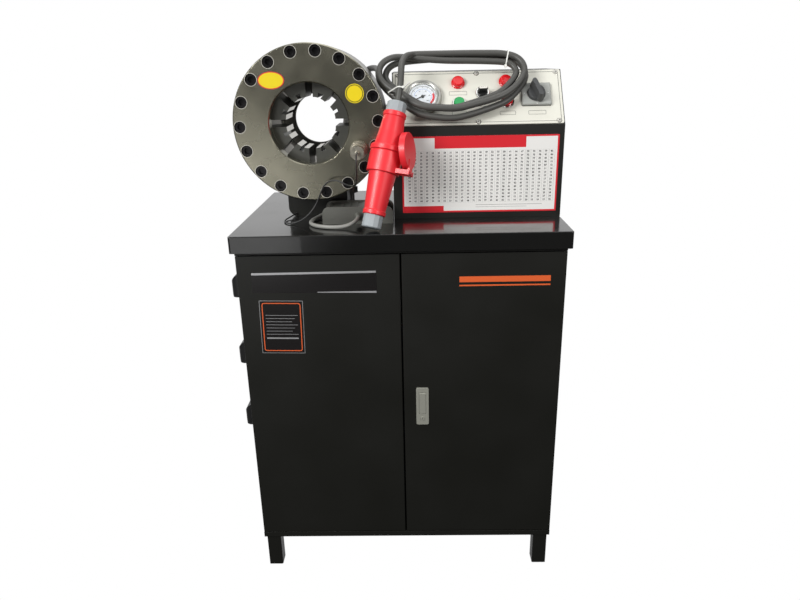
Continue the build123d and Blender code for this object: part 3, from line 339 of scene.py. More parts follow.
# %% Steel of the crimping head
ring_steel = surface("ring_steel", (0.33, 0.315, 0.245), 0.25, metallic=1.0, edge=0.7)
relief(ring_steel, turning_rings(ring_steel, HEAD, 320.0), 0.06, 0.18)
vary_gloss(ring_steel, spots(ring_steel, 14.0, 3.0), 0.21, 0.30)

body_steel = surface("body_steel", (0.30, 0.29, 0.27), 0.32, metallic=1.0, edge=0.7)
grain(body_steel, 60.0, 0.05, 0.2, 2.0, (1, 40, 1))

shoe_steel = surface("shoe_steel", (0.125, 0.125, 0.112), 0.36, metallic=0.9, edge=0.5)
grain(shoe_steel, 420.0, 0.08, 0.25)
bright_steel = surface("bright_steel", (0.62, 0.60, 0.55), 0.24, metallic=1.0, edge=0.3)
grain(bright_steel, 90.0, 0.05, 0.2, 2.0, (1, 30, 1))
print("finishes so far:", len(bpy.data.materials))

# %% [markdown]
# ## Plated and turned metal
# Screws are blackened or zinc plated, bezels are chromed, and the lock is a soft nickel. They differ in
# gloss more than in colour. A single grey metal would make every fitting look the same.

# %% Metal of the fittings
# A pale, half-metallic colour: the painted highlight on the chamfers round the ring's screw wells.
chamfer_glint = surface("chamfer_glint", (0.62, 0.60, 0.54), 0.30, metallic=0.35, edge=0)
panel_screw = surface("screw_plating", (0.62, 0.61, 0.56), 0.35, metallic=0.3, edge=0)
oxide = surface("black_oxide", (0.016, 0.015, 0.016), 0.26, metallic=0.6, edge=0.6)
zinc = surface("zinc_plate", (0.50, 0.50, 0.49), 0.32, metallic=1.0, edge=0.3)
grain(zinc, 300.0, 0.05, 0.15)
chrome = surface("chrome_plate", (0.66, 0.66, 0.64), 0.20, metallic=1.0, edge=0.4)
satin_nickel = surface("satin_nickel", (0.36, 0.36, 0.31), 0.42, metallic=0.35, edge=0.4)
nickel = surface("nickel_plate", (0.42, 0.42, 0.39), 0.34, metallic=1.0, edge=0.4)
SENSOR = bench(-81.8, 120.0, 149.8)
turned_alloy = surface("turned_alloy", (0.58, 0.54, 0.45), 0.30, metallic=1.0, edge=0.4)
relief(turned_alloy, turning_rings(turned_alloy, SENSOR, 900.0), 0.05, 0.3)
print("finishes so far:", len(bpy.data.materials))

# %% [markdown]
# ## Cast metal and the oil unit
# The pedal is cast and painted with hammered enamel, whose dimples are shallow and close. The tank and the
# motor have a smooth blue coat. Both are paint over metal, so the relief is what tells them apart.

# %% Hammered enamel and blue coat
hammered = surface("hammered_grey", (0.15, 0.152, 0.135), 0.40, metallic=0.45, edge=0.8)
grain(hammered, 210.0, 0.5, 0.6, 1.0)
unit_blue = surface("unit_blue", (0.04, 0.11, 0.24), 0.38, edge=0.8)
grain(unit_blue, 300.0, 0.2, 0.2)
print("finishes so far:", len(bpy.data.materials))

# %% [markdown]
# ## Plastic
# Moulded plastic is even, and its grain is too fine to see except where it breaks up a highlight. The lamps
# and buttons are clear inside on the real thing. From outside they look like glossy colour, so they are
# made so.

# %% Plastics
black_plastic = surface("black_plastic", (0.012, 0.012, 0.012), 0.38, edge=0.6)
grain(black_plastic, 1100.0, 0.1, 0.25)
grey_plastic = surface("grey_plastic", (0.36, 0.37, 0.345), 0.42, edge=0.6)
grain(grey_plastic, 1100.0, 0.1, 0.2)
knob_plastic = surface("knob_plastic", (0.055, 0.057, 0.058), 0.42, edge=0.8)
red_plastic = surface("red_plastic", (0.80, 0.024, 0.034), 0.40, coat=0.05, edge=0.8)
grain(red_plastic, 350.0, 0.08, 0.1)
gland_grey = surface("gland_grey", (0.34, 0.37, 0.385), 0.42, edge=0.8)
red_lens = surface("red_lens", (0.70, 0.006, 0.012), 0.26, coat=0.2, edge=0.6)
green_lens = surface("green_lens", (0.0, 0.30, 0.07), 0.26, coat=0.2, edge=0.6)
print("finishes so far:", len(bpy.data.materials))

# %% [markdown]
# ## Jackets of the cables
# Rubber is grey rather than black once light falls on it, and dull. A pure black would hide its roundness.

# %% Rubber and ties
cable_rubber = surface("cable_rubber", (0.068, 0.067, 0.061), 0.46, edge=0)
grain(cable_rubber, 500.0, 0.15, 0.25, 2.0)
wire_black = surface("wire_black", (0.02, 0.02, 0.02), 0.45, edge=0)
cable_grey = surface("cable_grey", (0.26, 0.26, 0.24), 0.46, edge=0)
tie_white = surface("tie_white", (0.78, 0.78, 0.74), 0.40, edge=0)
print("finishes so far:", len(bpy.data.materials))

# %% [markdown]
# ## Print
# Ink on metal or card is flat, so these are plain colours. An image could carry all the print at once, but
# separate pieces of print stay sharp at any size.

# %% Inks and cards
white_print = surface("white_print", (0.82, 0.82, 0.80), 0.35, edge=0)
red_print = surface("red_print", (0.66, 0.02, 0.03), 0.35, edge=0)
black_print = surface("black_print", (0.012, 0.012, 0.012), 0.35, edge=0)
grey_print = surface("grey_print", (0.24, 0.24, 0.23), 0.40, edge=0)
silver_print = surface("silver_print", (0.55, 0.55, 0.56), 0.30, metallic=0.6, edge=0)
orange_print = surface("orange_print", (0.72, 0.12, 0.03), 0.38, edge=0)
yellow_print = surface("yellow_print", (0.76, 0.60, 0.008), 0.35, edge=0)
blue_print = surface("blue_print", (0.10, 0.22, 0.50), 0.35, edge=0)

dial_white = surface("dial_white", (0.72, 0.75, 0.78), 0.45, edge=0)
chart_white = surface("chart_white", (0.80, 0.79, 0.76), 0.42, edge=0)
chart_shade = surface("chart_shade", (0.75, 0.745, 0.715), 0.42, edge=0)
plate_black = surface("plate_black", (0.010, 0.009, 0.009), 0.22, edge=0)
print("finishes so far:", len(bpy.data.materials))

# %% [markdown]
# ## The gauge's window
# Real glass bends light a lot. The window is thin and flat, so a lower index of refraction shows the dial
# behind it without shifting it.

# %% Window glass
clear_glass = surface("clear_glass", (1.0, 1.0, 1.0), 0.03, edge=0)
clear_glass.node_tree.nodes["Principled BSDF"].inputs["Transmission Weight"].default_value = 1.0
clear_glass.node_tree.nodes["Principled BSDF"].inputs["IOR"].default_value = 1.15
print("finishes in all:", len(bpy.data.materials))

# %% [markdown]
# ## Which part wears which finish
# The carcass, doors and drawers leave the same powder-coating line, so they share one material. Setting
# each part's finish by hand would work for a few parts. One table shows them all at a glance and names any
# part that was forgotten.

# %% Finish of every node
finishes = {
    cabinet_paint: ["carcass", "legs", "left_door", "right_door", "saddle", "control_box",
                    "drawer_top", "drawer_middle", "drawer_bottom"],
    worktop_paint: ["worktop"],
    panel_paint: ["control_panel"],
    ring_steel: ["head_ring"],
    body_steel: ["cylinder_body", "cone_piston"],
    shoe_steel: [f"shoe_{number}" for number in range(1, 9)],
    oxide: ["ring_bolts"],
    zinc: ["hinge_pins", "drawer_runners", "pressure_pipe", "valve_block"],
    chrome: ["button_bezels"],
    satin_nickel: ["lock_plate", "lock_paddle"],
    nickel: ["gauge_case"],
    turned_alloy: ["limit_sensor", "pump"],
    black_plastic: ["pull_top", "pull_middle", "pull_bottom", "tank_cap", "gauge_needle", "selector_knob"],
    grey_plastic: ["switch_base", "cable_gland"],
    knob_plastic: ["switch_knob"],
    red_plastic: ["coupler", "plug", "coupler_lid"],
    gland_grey: ["gland_nuts"],
    red_lens: ["pilot_lamps", "red_button"],
    green_lens: ["green_button"],
    hammered: ["pedal_base", "pedal_treadle"],
    cable_rubber: ["supply_coil", "supply_lead", "supply_tail"],
    cable_grey: ["pedal_cable"],
    wire_black: ["sensor_wire"],
    unit_blue: ["oil_tank", "motor"],
    clear_glass: ["gauge_glass"],
}
for material, names in finishes.items():
    for name in names:
        nodes[name].data.materials.clear()
        nodes[name].data.materials.append(material)
dressed = {name for names in finishes.values() for name in names}
print("left undressed:", sorted(set(nodes) - dressed))

# %% [markdown]
# The faces that grip the hose are ground bright, and the rest of each shoe stays dark. They could be picked
# one by one. It's safer to let a rule find them: a gripping face is close to the head's axis and looks at
# it.

# %% Bright gripping faces
GRIP_REACH = 0.058
LOOKS_INWARD = -0.8
gripping = 0
for number in range(1, 9):
    mesh = nodes[f"shoe_{number}"].data
    mesh.materials.append(bright_steel)
    for face in mesh.polygons:
        away = Vector((face.center.x - HEAD.x, 0, face.center.z - HEAD.z))
        if away.length < GRIP_REACH and face.normal.dot(away.normalized()) < LOOKS_INWARD:
            face.material_index = 1
            gripping += 1
print("bright faces:", gripping)

# %% [markdown]
# ## Cables
# A cable keeps its length and its thickness. Each one here is a smooth curve with a round section, through
# the places where it really goes. A simulation could drop it there, but it would settle a little
# differently after every change, while a curve through chosen places stays put.

# %% Cable tools
def run_length(points):
    """The length of the smooth curve that a row of control points makes."""
    total = 0.0
    for index in range(1, len(points) - 1):
        start = points[0] if index == 1 else (points[index - 1] + points[index]) / 2
        end = points[-1] if index == len(points) - 2 else (points[index] + points[index + 1]) / 2
        before = start
        for step in range(1, 13):
            t = step / 12
            here = start * (1 - t) ** 2 + points[index] * 2 * t * (1 - t) + end * t * t
            total += (here - before).length
            before = here
    return total


def cable(name, points, diameter, material):
    """A round cable through control points, in metres."""
    data = bpy.data.curves.new(name, "CURVE")
    data.dimensions = "3D"
    data.resolution_u = 6
    data.bevel_depth = diameter / 2
    data.bevel_resolution = 5
    data.use_fill_caps = True
    spline = data.splines.new("NURBS")
    spline.points.add(len(points) - 1)
    for point, spot in zip(spline.points, points):
        point.co = (*spot, 1.0)
    spline.order_u = 3
    spline.use_endpoint_u = True
    data.materials.append(material)
    made = bpy.data.objects.new(name, data)
    bpy.context.scene.collection.objects.link(made)
    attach(made, "cabinet")
    print(name, "length", round(run_length(points), 4))
    return made


# %% [markdown]
# The supply cable leaves the control box, makes three turns that lean on the panel, and comes down in front
# to its plug. The turns follow a round-cornered shape that is wider than it is tall: the outline round a
# few circles, pulled inwards by a different amount at the left, the bottom, the right and the top. A plain
# helix would be simpler, but a cable that is hung up and tied sags into a shape like this one. The inset
# and the height off the panel change smoothly between the four places, so the turns pass one in front of
# another.

# %% The turns of the supply cable
# The circles: x, up and radius on the panel.
ROUNDS = ((2.0, 105.0, 50.0), (222.0, 105.0, 50.0), (60.0, 55.0, 52.0), (110.0, 66.0, 70.0),
          (190.0, 80.0, 57.0))
# Each turn's inset and height off the panel at its left, bottom, right and top.
TURNS = (
    ((7.0, 24.5), (7.0, 24.0), (7.5, 24.0), (7.5, 24.0)),
    ((19.5, 25.0), (28.5, 28.0), (29.0, 30.0), (23.5, 36.0)),
    ((5.5, 40.0), (19.0, 40.0), (12.0, 39.5), (8.5, 40.0)),
)


def outline_of_rounds(steps=720):
    """Evenly spaced places round the circles, anticlockwise from the left: (x, up, outward x, outward up)."""
    places = []
    for step in range(steps + 1):
        angle = math.pi + 2 * math.pi * step / steps
        out = (math.cos(angle), math.sin(angle))
        x, up, radius = max(ROUNDS, key=lambda c: c[0] * out[0] + c[1] * out[1] + c[2])
        spot = (x + radius * out[0], up + radius * out[1], *out)
        if places:
            last = places[-1]
            gap = math.dist(last[:2], spot[:2])
            for extra in range(1, int(gap)):
                places.append(tuple(a + (b - a) * extra / gap for a, b in zip(last, spot)))
        places.append(spot)
    return places


def turn_points(start, end, count):
    """Points of the cable between two places on the path of turns, which are counted in quarter turns."""
    places = outline_of_rounds()
    reach = [0.0]
    for before, after in zip(places, places[1:]):
        reach.append(reach[-1] + math.dist(before[:2], after[:2]))
    stations = [inset for turn in TURNS for inset in turn] + [TURNS[-1][-1]] * 2
    points = []
    for index in range(count):
        quarters = start + (end - start) * index / (count - 1)
        share = (quarters / 4) % 1.0
        place = next(k for k, r in enumerate(reach) if r >= share * reach[-1])
        x, up, out_x, out_up = places[place]
        before = stations[int(quarters)]
        after = stations[int(quarters) + 1]
        blend = quarters - int(quarters)
        blend = blend * blend * (3 - 2 * blend)
        inset = before[0] + (after[0] - before[0]) * blend
        height = before[1] + (after[1] - before[1]) * blend
        points.append(on_panel(x - out_x * inset, up - out_up * inset, height))
    return points


FIRST_QUARTER, LAST_QUARTER = 0.05, 11.32
turns = turn_points(FIRST_QUARTER, LAST_QUARTER, 57)
print("points on the turns:", len(turns))

# %% [markdown]
# The two ends of the cable are given as listed points: one from the box's gland round behind the head, one
# from the last turn down to the plug. A cable leaves its gland straight and then bends a little everywhere,
# so no stretch of the points after the first two is straight.

# %% The supply cable from the gland to the plug
tail_route = [(-39.0, 345.0, 215.0), (-65.0, 345.0, 215.0), (-88.0, 344.0, 226.0), (-101.0, 342.0, 248.0),
              (-101.0, 338.0, 273.0), (-88.0, 331.0, 294.0), (-68.0, 317.0, 304.0), (-54.0, 294.0, 306.0),
              (-47.0, 266.0, 303.0), (-43.0, 228.0, 301.0), (-41.5, 196.0, 299.0)]
lead_route = [(31.0, 195.0, 331.0), (15.0, 170.0, 328.0), (8.0, 143.0, 315.0),
              (6.5, 121.0, 294.0), (5.0, 108.0, 268.5), (-1.0, 100.0, 242.0)]
supply_points = [bench(*spot) for spot in tail_route] + turns + [bench(*spot) for spot in lead_route]
supply = cable("supply_cable", supply_points, 0.013, cable_rubber)
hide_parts("supply_coil", "supply_lead", "supply_tail")

# %% [markdown]
# The pedal's cable and the sensor's wire are thinner and lie loosely. They touch the worktop where they
# rest on it, and go in under the saddle. They are curves like the supply cable, for the same reasons.

# %% The pedal's cable
pedal_route = [(-87.0, 84.0, 17.0), (-87.5, 72.0, 16.0), (-93.0, 60.0, 12.0), (-105.0, 52.0, 7.0),
               (-124.0, 49.0, 4.4), (-147.0, 52.0, 4.3), (-168.0, 62.0, 4.3), (-183.0, 79.0, 4.3),
               (-189.0, 102.0, 4.3), (-186.0, 126.0, 4.3), (-176.0, 150.0, 5.5), (-166.0, 170.0, 8.0),
               (-160.0, 183.0, 9.0)]
pedal_points = [bench(*spot) for spot in pedal_route]
pedal_cord = cable("pedal_cord", pedal_points, 0.008, cable_grey)
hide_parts("pedal_cable")

# %% The sensor's wire
wire_route = [(-81.8, 54.0, 149.8), (-81.8, 45.0, 149.3), (-81.9, 37.0, 145.5), (-82.0, 32.5, 137.0),
              (-82.0, 33.5, 124.0), (-82.7, 40.0, 109.0), (-84.5, 51.0, 95.5), (-89.5, 65.0, 86.0),
              (-98.0, 79.0, 81.5), (-112.0, 91.0, 84.5), (-129.0, 98.5, 91.5), (-146.0, 103.0, 89.5),
              (-158.0, 105.5, 78.5), (-166.0, 106.5, 61.0), (-175.0, 106.0, 41.0), (-188.0, 103.0, 23.0),
              (-206.0, 98.5, 9.0), (-226.0, 98.0, 2.4), (-241.0, 106.0, 2.0), (-248.0, 122.0, 2.0),
              (-247.0, 141.0, 2.4), (-240.0, 159.0, 4.0), (-233.0, 173.0, 6.0), (-229.0, 183.0, 7.0)]
wire_points = [bench(*spot) for spot in wire_route]
wire_cord = cable("sensor_cord", wire_points, 0.003, wire_black)
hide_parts("sensor_wire")

# %% [markdown]
# ## Dial, print and small fittings
# Print is a skin a fraction of a millimetre thick, laid on the face that it belongs to. An image texture
# would do, but a thin solid has an edge that catches the light as card and enamel do. The print is plain:
# only the dial and the die chart have numbers, and the signs are bare plates with their borders and
# stripes.


# %% Print tools
SKIN = 0.25
OVERPRINT = SKIN + 0.06


def frame_line(width, height, radius, line, x=0.0, y=0.0, low=0.0, high=SKIN):
    """A thin closed line along a rounded rectangle."""
    outer = rounded(width, height, radius, x, y)
    inner = rounded(width - 2 * line, height - 2 * line, max(radius - line, 0.2), x, y)
    return band(outer, inner, low, high)


def bar(left, right, bottom, top, low=0.0, high=SKIN):
    """A plain rectangle of print."""
    return slab([(left, bottom), (right, bottom), (right, top), (left, top)], low, high)


def arc_band(inner, outer, start, end, low, high, steps=24):
    """Part of a flat ring, between two angles in degrees."""
    turns = [math.radians(start + (end - start) * step / steps) for step in range(steps + 1)]
    outline = [(outer * math.cos(turn), outer * math.sin(turn)) for turn in turns]
    outline += [(inner * math.cos(turn), inner * math.sin(turn)) for turn in reversed(turns)]
    return slab(outline, low, high)


# %% [markdown]
# Numbers are type, so they are text objects rather than drawn lines. Blender sets a whole column in one
# object when its lines are spaced like the rows of the table, and a small offset makes the strokes as bold
# as print.


# %% Printed numbers
def numbers(name, place, text, size, x, y, z, material, spacing=1.0):
    """Plain numbers as raised print, one line under another, centred on x."""
    data = bpy.data.curves.new(name, "FONT")
    data.body = text
    data.size = size
    data.align_x = "CENTER"
    data.align_y = "CENTER" if spacing == 1.0 else "TOP_BASELINE"
    data.space_line = spacing
    data.extrude = SKIN / 4
    data.offset = 0.035 * size
    data.resolution_u = 1
    data.materials.append(material)
    made = bpy.data.objects.new(name, data)
    bpy.context.scene.collection.objects.link(made)
    made.matrix_world = place @ Matrix.Translation((x, y, z))
    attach(made, "cabinet")
    return made


# %% [markdown]
# ### The gauge's dial
# A gauge's dial is a white card with a mark for every few bar, a longer one for every fifth, and a red arc
# where the pressure is too high. The marks repeat, so one bar is turned round the middle again and again.
# They lie in front of the card by the thickness of the ink, so they don't flicker against it.

# %% Dial of the pressure gauge
GAUGE = (50.0, 66.0)
DIAL_FACE = 7.0
DIAL_RADIUS = 28.6
DIAL_CARD, DIAL_INK = 0.1, 0.18
ZERO_ANGLE = 225.0
SWEEP = 270.0
MARKS = 50
gauge_place = panel_spot(*GAUGE, DIAL_FACE)
piece("dial_card", gauge_place, [slab(circle(DIAL_RADIUS, steps=64), 0.0, DIAL_CARD)], dial_white)
long_mark = bar(20.5, 24.4, -0.35, 0.35, DIAL_CARD, DIAL_INK)
short_mark = bar(22.6, 24.4, -0.16, 0.16, DIAL_CARD, DIAL_INK)
ticks = [moved(short_mark if step % 5 else long_mark, turn=ZERO_ANGLE - SWEEP * step / MARKS)
         for step in range(MARKS + 1)]
piece("dial_ticks", gauge_place, ticks, black_print)
scale_line = arc_band(24.4, 25.0, ZERO_ANGLE - SWEEP, ZERO_ANGLE, DIAL_CARD, DIAL_INK, 60)
piece("dial_scale_line", gauge_place, [scale_line], black_print)
inner_scale = arc_band(17.6, 18.3, ZERO_ANGLE - SWEEP, ZERO_ANGLE, DIAL_CARD, DIAL_INK, 60)
piece("dial_inner_scale", gauge_place, [inner_scale], blue_print)
piece("dial_red_arc", gauge_place, [arc_band(20.2, 24.6, -45, 18, DIAL_CARD, 0.16)], red_print)
print("marks on the dial:", len(ticks))

# %% Numbers and needle of the gauge
NUMBER_RING = 14.2
NUMBERS = (0, 20, 40, 60, 80, 100)
for step, number in enumerate(NUMBERS):
    angle = math.radians(ZERO_ANGLE - SWEEP * step / (len(NUMBERS) - 1))
    numbers(f"dial_number_{step}", gauge_place, str(number), 3.6, NUMBER_RING * math.cos(angle),
            NUMBER_RING * math.sin(angle), 0.14, black_print)
hub_place = panel_spot(*GAUGE, DIAL_FACE + 1.25)
hub_cap = turned_shape(((3.4, 0.0), (3.2, 0.5), (0.01, 0.7)), 24)
piece("needle_hub_cap", hub_place, [hub_cap], black_print, body="needle", smooth=True)
print("numbers on the dial:", len(NUMBERS))

# %% [markdown]
# ### The gauge's rim
# The bezel ring is screwed on by hand, so its edge is knurled. A bump texture would fade at the silhouette,
# just where knurls show best, so each of them is a small bar.

# %% Knurled rim of the gauge
KNURLS = 60
knurl = bar(38.6, 39.5, -0.7, 0.7, 0.6, 5.4)
knurls = [moved(knurl, turn=360.0 * step / KNURLS) for step in range(KNURLS)]
piece("gauge_knurls", panel_spot(*GAUGE), knurls, nickel)
print("knurls:", len(knurls))

# %% [markdown]
# ### The control panel
# The panel is a plate with a printed line round its edge and a small frame under each control, where a
# machine would say what the control does. The frames stay empty here. They share one object, since they are
# one print.

# %% Print on the control panel
PANEL_MIDDLE = 163.0
border = frame_line(340.0, 118.0, 7.0, 0.7, PANEL_MIDDLE, 66.2)
piece("panel_border", panel_place, [border], black_print)
# The frames' middles and widths: x, up and width.
LABELS = ((50.0, 19.0, 34.0), (123.5, 77.0, 37.0), (174.0, 49.0, 26.0), (224.2, 76.0, 30.0),
          (224.2, 27.8, 32.0), (125.0, 30.0, 30.0), (284.4, 27.8, 36.0))
frames = [frame_line(width, 9.0, 1.5, 0.5, x, up) for x, up, width in LABELS]
piece("panel_label_borders", panel_place, frames, black_print)
print("frames on the panel:", len(frames))

# %% [markdown]
# Six pan-head screws on plain washers hold the panel. They are small fasteners, so they are made here and not
# in the construction model: a turned head, and two black bars laid on it as painted shade for its cross slot,
# which read as a slot at this size.


# %% Screws of the control panel
def screw(x, y, radius):
    """A pan-head screw and two black bars of painted shade for its cross slot: the head's shape, then the two
    bars.
    """
    high = 0.55 * radius
    head = turned_shape(((radius, 0.0), (radius, 0.3 * high), (0.8 * radius, 0.8 * high),
                         (0.45 * radius, high), (0.01, high)), 24)
    arm = 0.5 * radius
    # Each bar is painted shade, where the cross slot is recessed into the head.
    stroke = bar(-arm, arm, -0.09 * radius, 0.09 * radius, high, high + 0.05)
    return moved(head, x, y), [moved(stroke, x, y, turn) for turn in (20, 110)]


SCREW_SPOTS = [(x, up) for x in (-2.0, PANEL_MIDDLE, 328.0) for up in (8.0, 124.4)]
heads, slot_shades, washers = [], [], []
for x, up in SCREW_SPOTS:
    head, slot = screw(x, up, 4.2)
    heads.append(head)
    slot_shades += slot
    washers.append(moved(slab(circle(5.6, steps=32), 0.0, 0.4), x, up))
piece("panel_washers", panel_place, washers, bright_steel)
piece("panel_screws", panel_place, heads, panel_screw, smooth=True)
# The slots' darkness is painted shade, in black print.
piece("panel_screw_slot_shades", panel_place, slot_shades, black_print)
print("screws on the panel:", len(heads))

# %% [markdown]
# The main switch has a dark line round its square plate and a mark at each quarter turn. The selector has a
# bright cap that shows which way it points, so the cap rides on the selector and turns with it.

# %% Marks of the main switch and the selector
SWITCH = (284.0, 69.0)
SELECTOR = (174.0, 76.0)
piece("switch_rim", panel_place, [frame_line(60.6, 52.6, 2.3, 0.8, *SWITCH, 0.0, 2.2)], black_print)
marks = [moved(bar(23.0, 26.0, -0.5, 0.5), turn=turn) for turn in (0, 90, 180, 270)]
piece("switch_marks", panel_spot(*SWITCH, 7.0), marks, white_print)
lever_cap = slab(rounded(16.5, 3.8, 1.8), 0.0, 0.5)
piece("selector_cap", panel_spot(*SELECTOR, 19.3), [lever_cap], bright_steel, body="selector")
print("marks on the switch:", len(marks))

# %% [markdown]
# ### The die chart
# A card on the box lists the die and the crimping size for each hose. It has a red edge, a red heading and
# a ruled table of numbers. A picture of a real chart would copy someone's work, so the headings are bare
# and the numbers follow a simple rule.

# %% Card of the die chart
CHART_LEFT, CHART_RIGHT, CHART_LOW, CHART_HIGH = 5.0, 330.0, 12.0, 171.0
middle_x = (CHART_LEFT + CHART_RIGHT) / 2
middle_z = (CHART_LOW + CHART_HIGH) / 2
chart_wide = CHART_RIGHT - CHART_LEFT
chart_tall = CHART_HIGH - CHART_LOW
card = slab(rounded(chart_wide, chart_tall, 1.0, middle_x, middle_z), 0.0, SKIN)
piece("chart_card", box_place, [card], chart_white)
reds = [frame_line(chart_wide, chart_tall, 1.0, 3.4, middle_x, middle_z, SKIN, OVERPRINT),
        bar(73.0, 262.0, 146.0, 167.6, SKIN, OVERPRINT),
        bar(CHART_LEFT + 3.0, 92.0, CHART_LOW + 3.0, 26.0, SKIN, OVERPRINT)]
piece("chart_red", box_place, reds, red_print)
print("the chart is", chart_wide, "by", chart_tall, "mm")

# %% [markdown]
# The table's lines are all worked out from its corners and its counts of rows and columns, so the numbers
# are sure to stand in the middle of their boxes. Two columns have a faint tint, to lead the eye.

# %% Table of the die chart
GRID_LEFT, GRID_RIGHT, GRID_LOW, GRID_HIGH = 14.0, 322.0, 33.0, 141.0
ROWS, COLUMNS = 15, 25
TYPE_SIZE = 5.0
ROW_LINE, COLUMN_LINE, TINT_GAP = 0.05, 0.12, 0.2
row = (GRID_HIGH - GRID_LOW) / ROWS
column = (GRID_RIGHT - GRID_LEFT) / COLUMNS
lines = []
for k in range(ROWS + 1):
    z = GRID_LOW + k * row
    lines.append(bar(GRID_LEFT, GRID_RIGHT, z - ROW_LINE, z + ROW_LINE, SKIN, OVERPRINT))
for k in range(COLUMNS + 1):
    x = GRID_LEFT + k * column
    lines.append(bar(x - COLUMN_LINE, x + COLUMN_LINE, GRID_LOW, GRID_HIGH, SKIN, OVERPRINT))
piece("chart_grid", box_place, lines, grey_print)
tints = [bar(GRID_LEFT + k * column + TINT_GAP, GRID_LEFT + (k + 1) * column - TINT_GAP,
             GRID_LOW + TINT_GAP, GRID_HIGH - TINT_GAP, SKIN / 2, SKIN + 0.02) for k in (16, 20)]
piece("chart_shades", box_place, tints, chart_shade)
for k in range(COLUMNS):
    values = "\n".join(f"{10 + (k * 3 + r * 2) % 78}" for r in range(ROWS))
    numbers(f"chart_column_{k}", box_place, values, TYPE_SIZE, GRID_LEFT + (k + 0.5) * column,
            GRID_HIGH - row * 0.72, OVERPRINT, black_print, spacing=row / TYPE_SIZE)
footer = [bar(160.0, 300.0, 27.0, 27.8, SKIN, OVERPRINT), bar(160.0, 268.0, 22.5, 23.1, SKIN, OVERPRINT)]
piece("chart_footer_lines", box_place, footer, grey_print)
print("numbers on the chart:", ROWS * COLUMNS)

# %% [markdown]
# ### Plates on the doors
# The left door has a long black plate with two silver stripes, and a small sign in a silver edge and an
# orange border. The right door has two orange stripes. Each one rides on its own door, so it swings with
# it.

# %% Long plate of the left door
long_plate = slab([(-303.0, -77.5), (-303.0, -120.0), (-49.0, -124.5), (-49.0, -76.0)], 0.0, SKIN)
piece("left_door_plate", door_place, [long_plate], plate_black, body="left_leaf")
upper_stripe = slab([(-302.0, -78.5), (-302.0, -83.0), (-50.0, -81.0), (-50.0, -76.8)], SKIN, OVERPRINT)
lower_stripe = slab([(-170.0, -120.0), (-170.0, -121.6), (-50.0, -123.9), (-50.0, -119.6)], SKIN, OVERPRINT)
long_stripes = [upper_stripe, lower_stripe]
piece("left_door_plate_stripes", door_place, long_stripes, silver_print, body="left_leaf")
print("stripes on the long plate:", len(long_stripes))

# %% Sign of the left door and stripes of the right one
SIGN_WIDE, SIGN_TALL = 90.0, 117.0
sign_place = place_at(bench(-248.0, DOOR_FACE, -196.5), (1, 0, -0.02), (0.02, 0, 1))
sign = slab(rounded(SIGN_WIDE, SIGN_TALL, 1.0), 0.0, SKIN)
piece("left_door_sign", sign_place, [sign], plate_black, body="left_leaf")
edge = frame_line(SIGN_WIDE, SIGN_TALL, 1.0, 0.9, low=SKIN, high=OVERPRINT)
piece("left_door_sign_edge", sign_place, [edge], silver_print, body="left_leaf")
inner_edge = frame_line(SIGN_WIDE - 10.0, SIGN_TALL - 10.0, 5.0, 1.8, low=SKIN, high=OVERPRINT)
piece("left_door_sign_border", sign_place, [inner_edge], orange_print, body="left_leaf")
rules = [bar(-33.0, 33.0, -26.0, -23.0, SKIN, OVERPRINT)]
rules += [bar(-33.0, 33.0 - 6 * (k % 3), 26.0 - 7 * k, 26.8 - 7 * k, SKIN, OVERPRINT) for k in range(7)]
piece("left_door_sign_rules", sign_place, rules, silver_print, body="left_leaf")
stripes = [bar(118.0, 301.0, -104.0, -92.0), bar(118.0, 301.0, -112.5, -109.5)]
piece("right_door_stripes", door_place, stripes, orange_print, body="right_leaf")
print("rules on the sign:", len(rules))

# %% [markdown]
# ### Stickers and screw wells of the ring
# Such a ring carries an oval sticker and a round one. They are bare here, with only their edges. An oval is
# a circle made less tall, so both come from one helper.

# %% Stickers on the head's ring
OVAL = (-70.0, 85.5)
ROUND = (95.2, 57.5)
oval_edge = slab(circle(26.5, *OVAL, tall=0.63), 0.0, SKIN)
oval_face = slab(circle(24.6, *OVAL, tall=0.61), 0.0, OVERPRINT)
round_face = slab(circle(18.6, *ROUND), 0.0, SKIN)
piece("oval_sticker_edge", head_place, [oval_edge], red_print)
piece("oval_sticker", head_place, [oval_face], yellow_print)
piece("round_sticker", head_place, [round_face], yellow_print)
line_round = band(circle(17.0, *ROUND), circle(15.6, *ROUND), SKIN, OVERPRINT)
piece("round_sticker_line", head_place, [line_round], black_print)
print("corners of the oval:", len(oval_face[0]))

# %% [markdown]
# The cutter leaves a small chamfer round the well of each of the ring's screws, and the chamfer catches the
# light. It could be cut into the ring's mesh, but here a thin ring of pale, half-metallic colour on the face
# paints that highlight in its place, looks the same and leaves the ring as it is.

# %% Painted highlights round the ring's screw wells
BOLT_COUNT = 18
BOLT_CIRCLE = 141.0
BOLT_PHASE = 1.5
WELL_EDGE_OUT, WELL_EDGE_IN = 12.7, 11.75
well_glints = []
for step in range(BOLT_COUNT):
    angle = math.radians(BOLT_PHASE + 360.0 * step / BOLT_COUNT)
    x, y = BOLT_CIRCLE * math.cos(angle), BOLT_CIRCLE * math.sin(angle)
    well_glints.append(band(circle(WELL_EDGE_OUT, x, y, 32), circle(WELL_EDGE_IN, x, y, 32), 0.0, 0.12))
# These thin rings are painted highlight, not a finish of their own.
piece("screw_well_glints", head_place, well_glints, chamfer_glint)
print("well edges:", len(well_glints))

# %% [markdown]
# ### Cable ties
# Two white ties hold the turns of the supply cable together. A tie is a flat strap pulled round its cables
# like a belt, with a small square catch and a loose end. It's made as a band round two places of the cable,
# so it finds the cable wherever that runs, and isn't fitted by eye.


# %% Cable ties
STRAP_IN, STRAP_OUT, STRAP_HALF = 7.0, 8.0, 1.3
CATCH_OUT = 9.0


def nearest(spot):
    """The number of the supply cable's point that is closest to a place."""
    return min(range(len(supply_points)), key=lambda index: (supply_points[index] - spot).length)


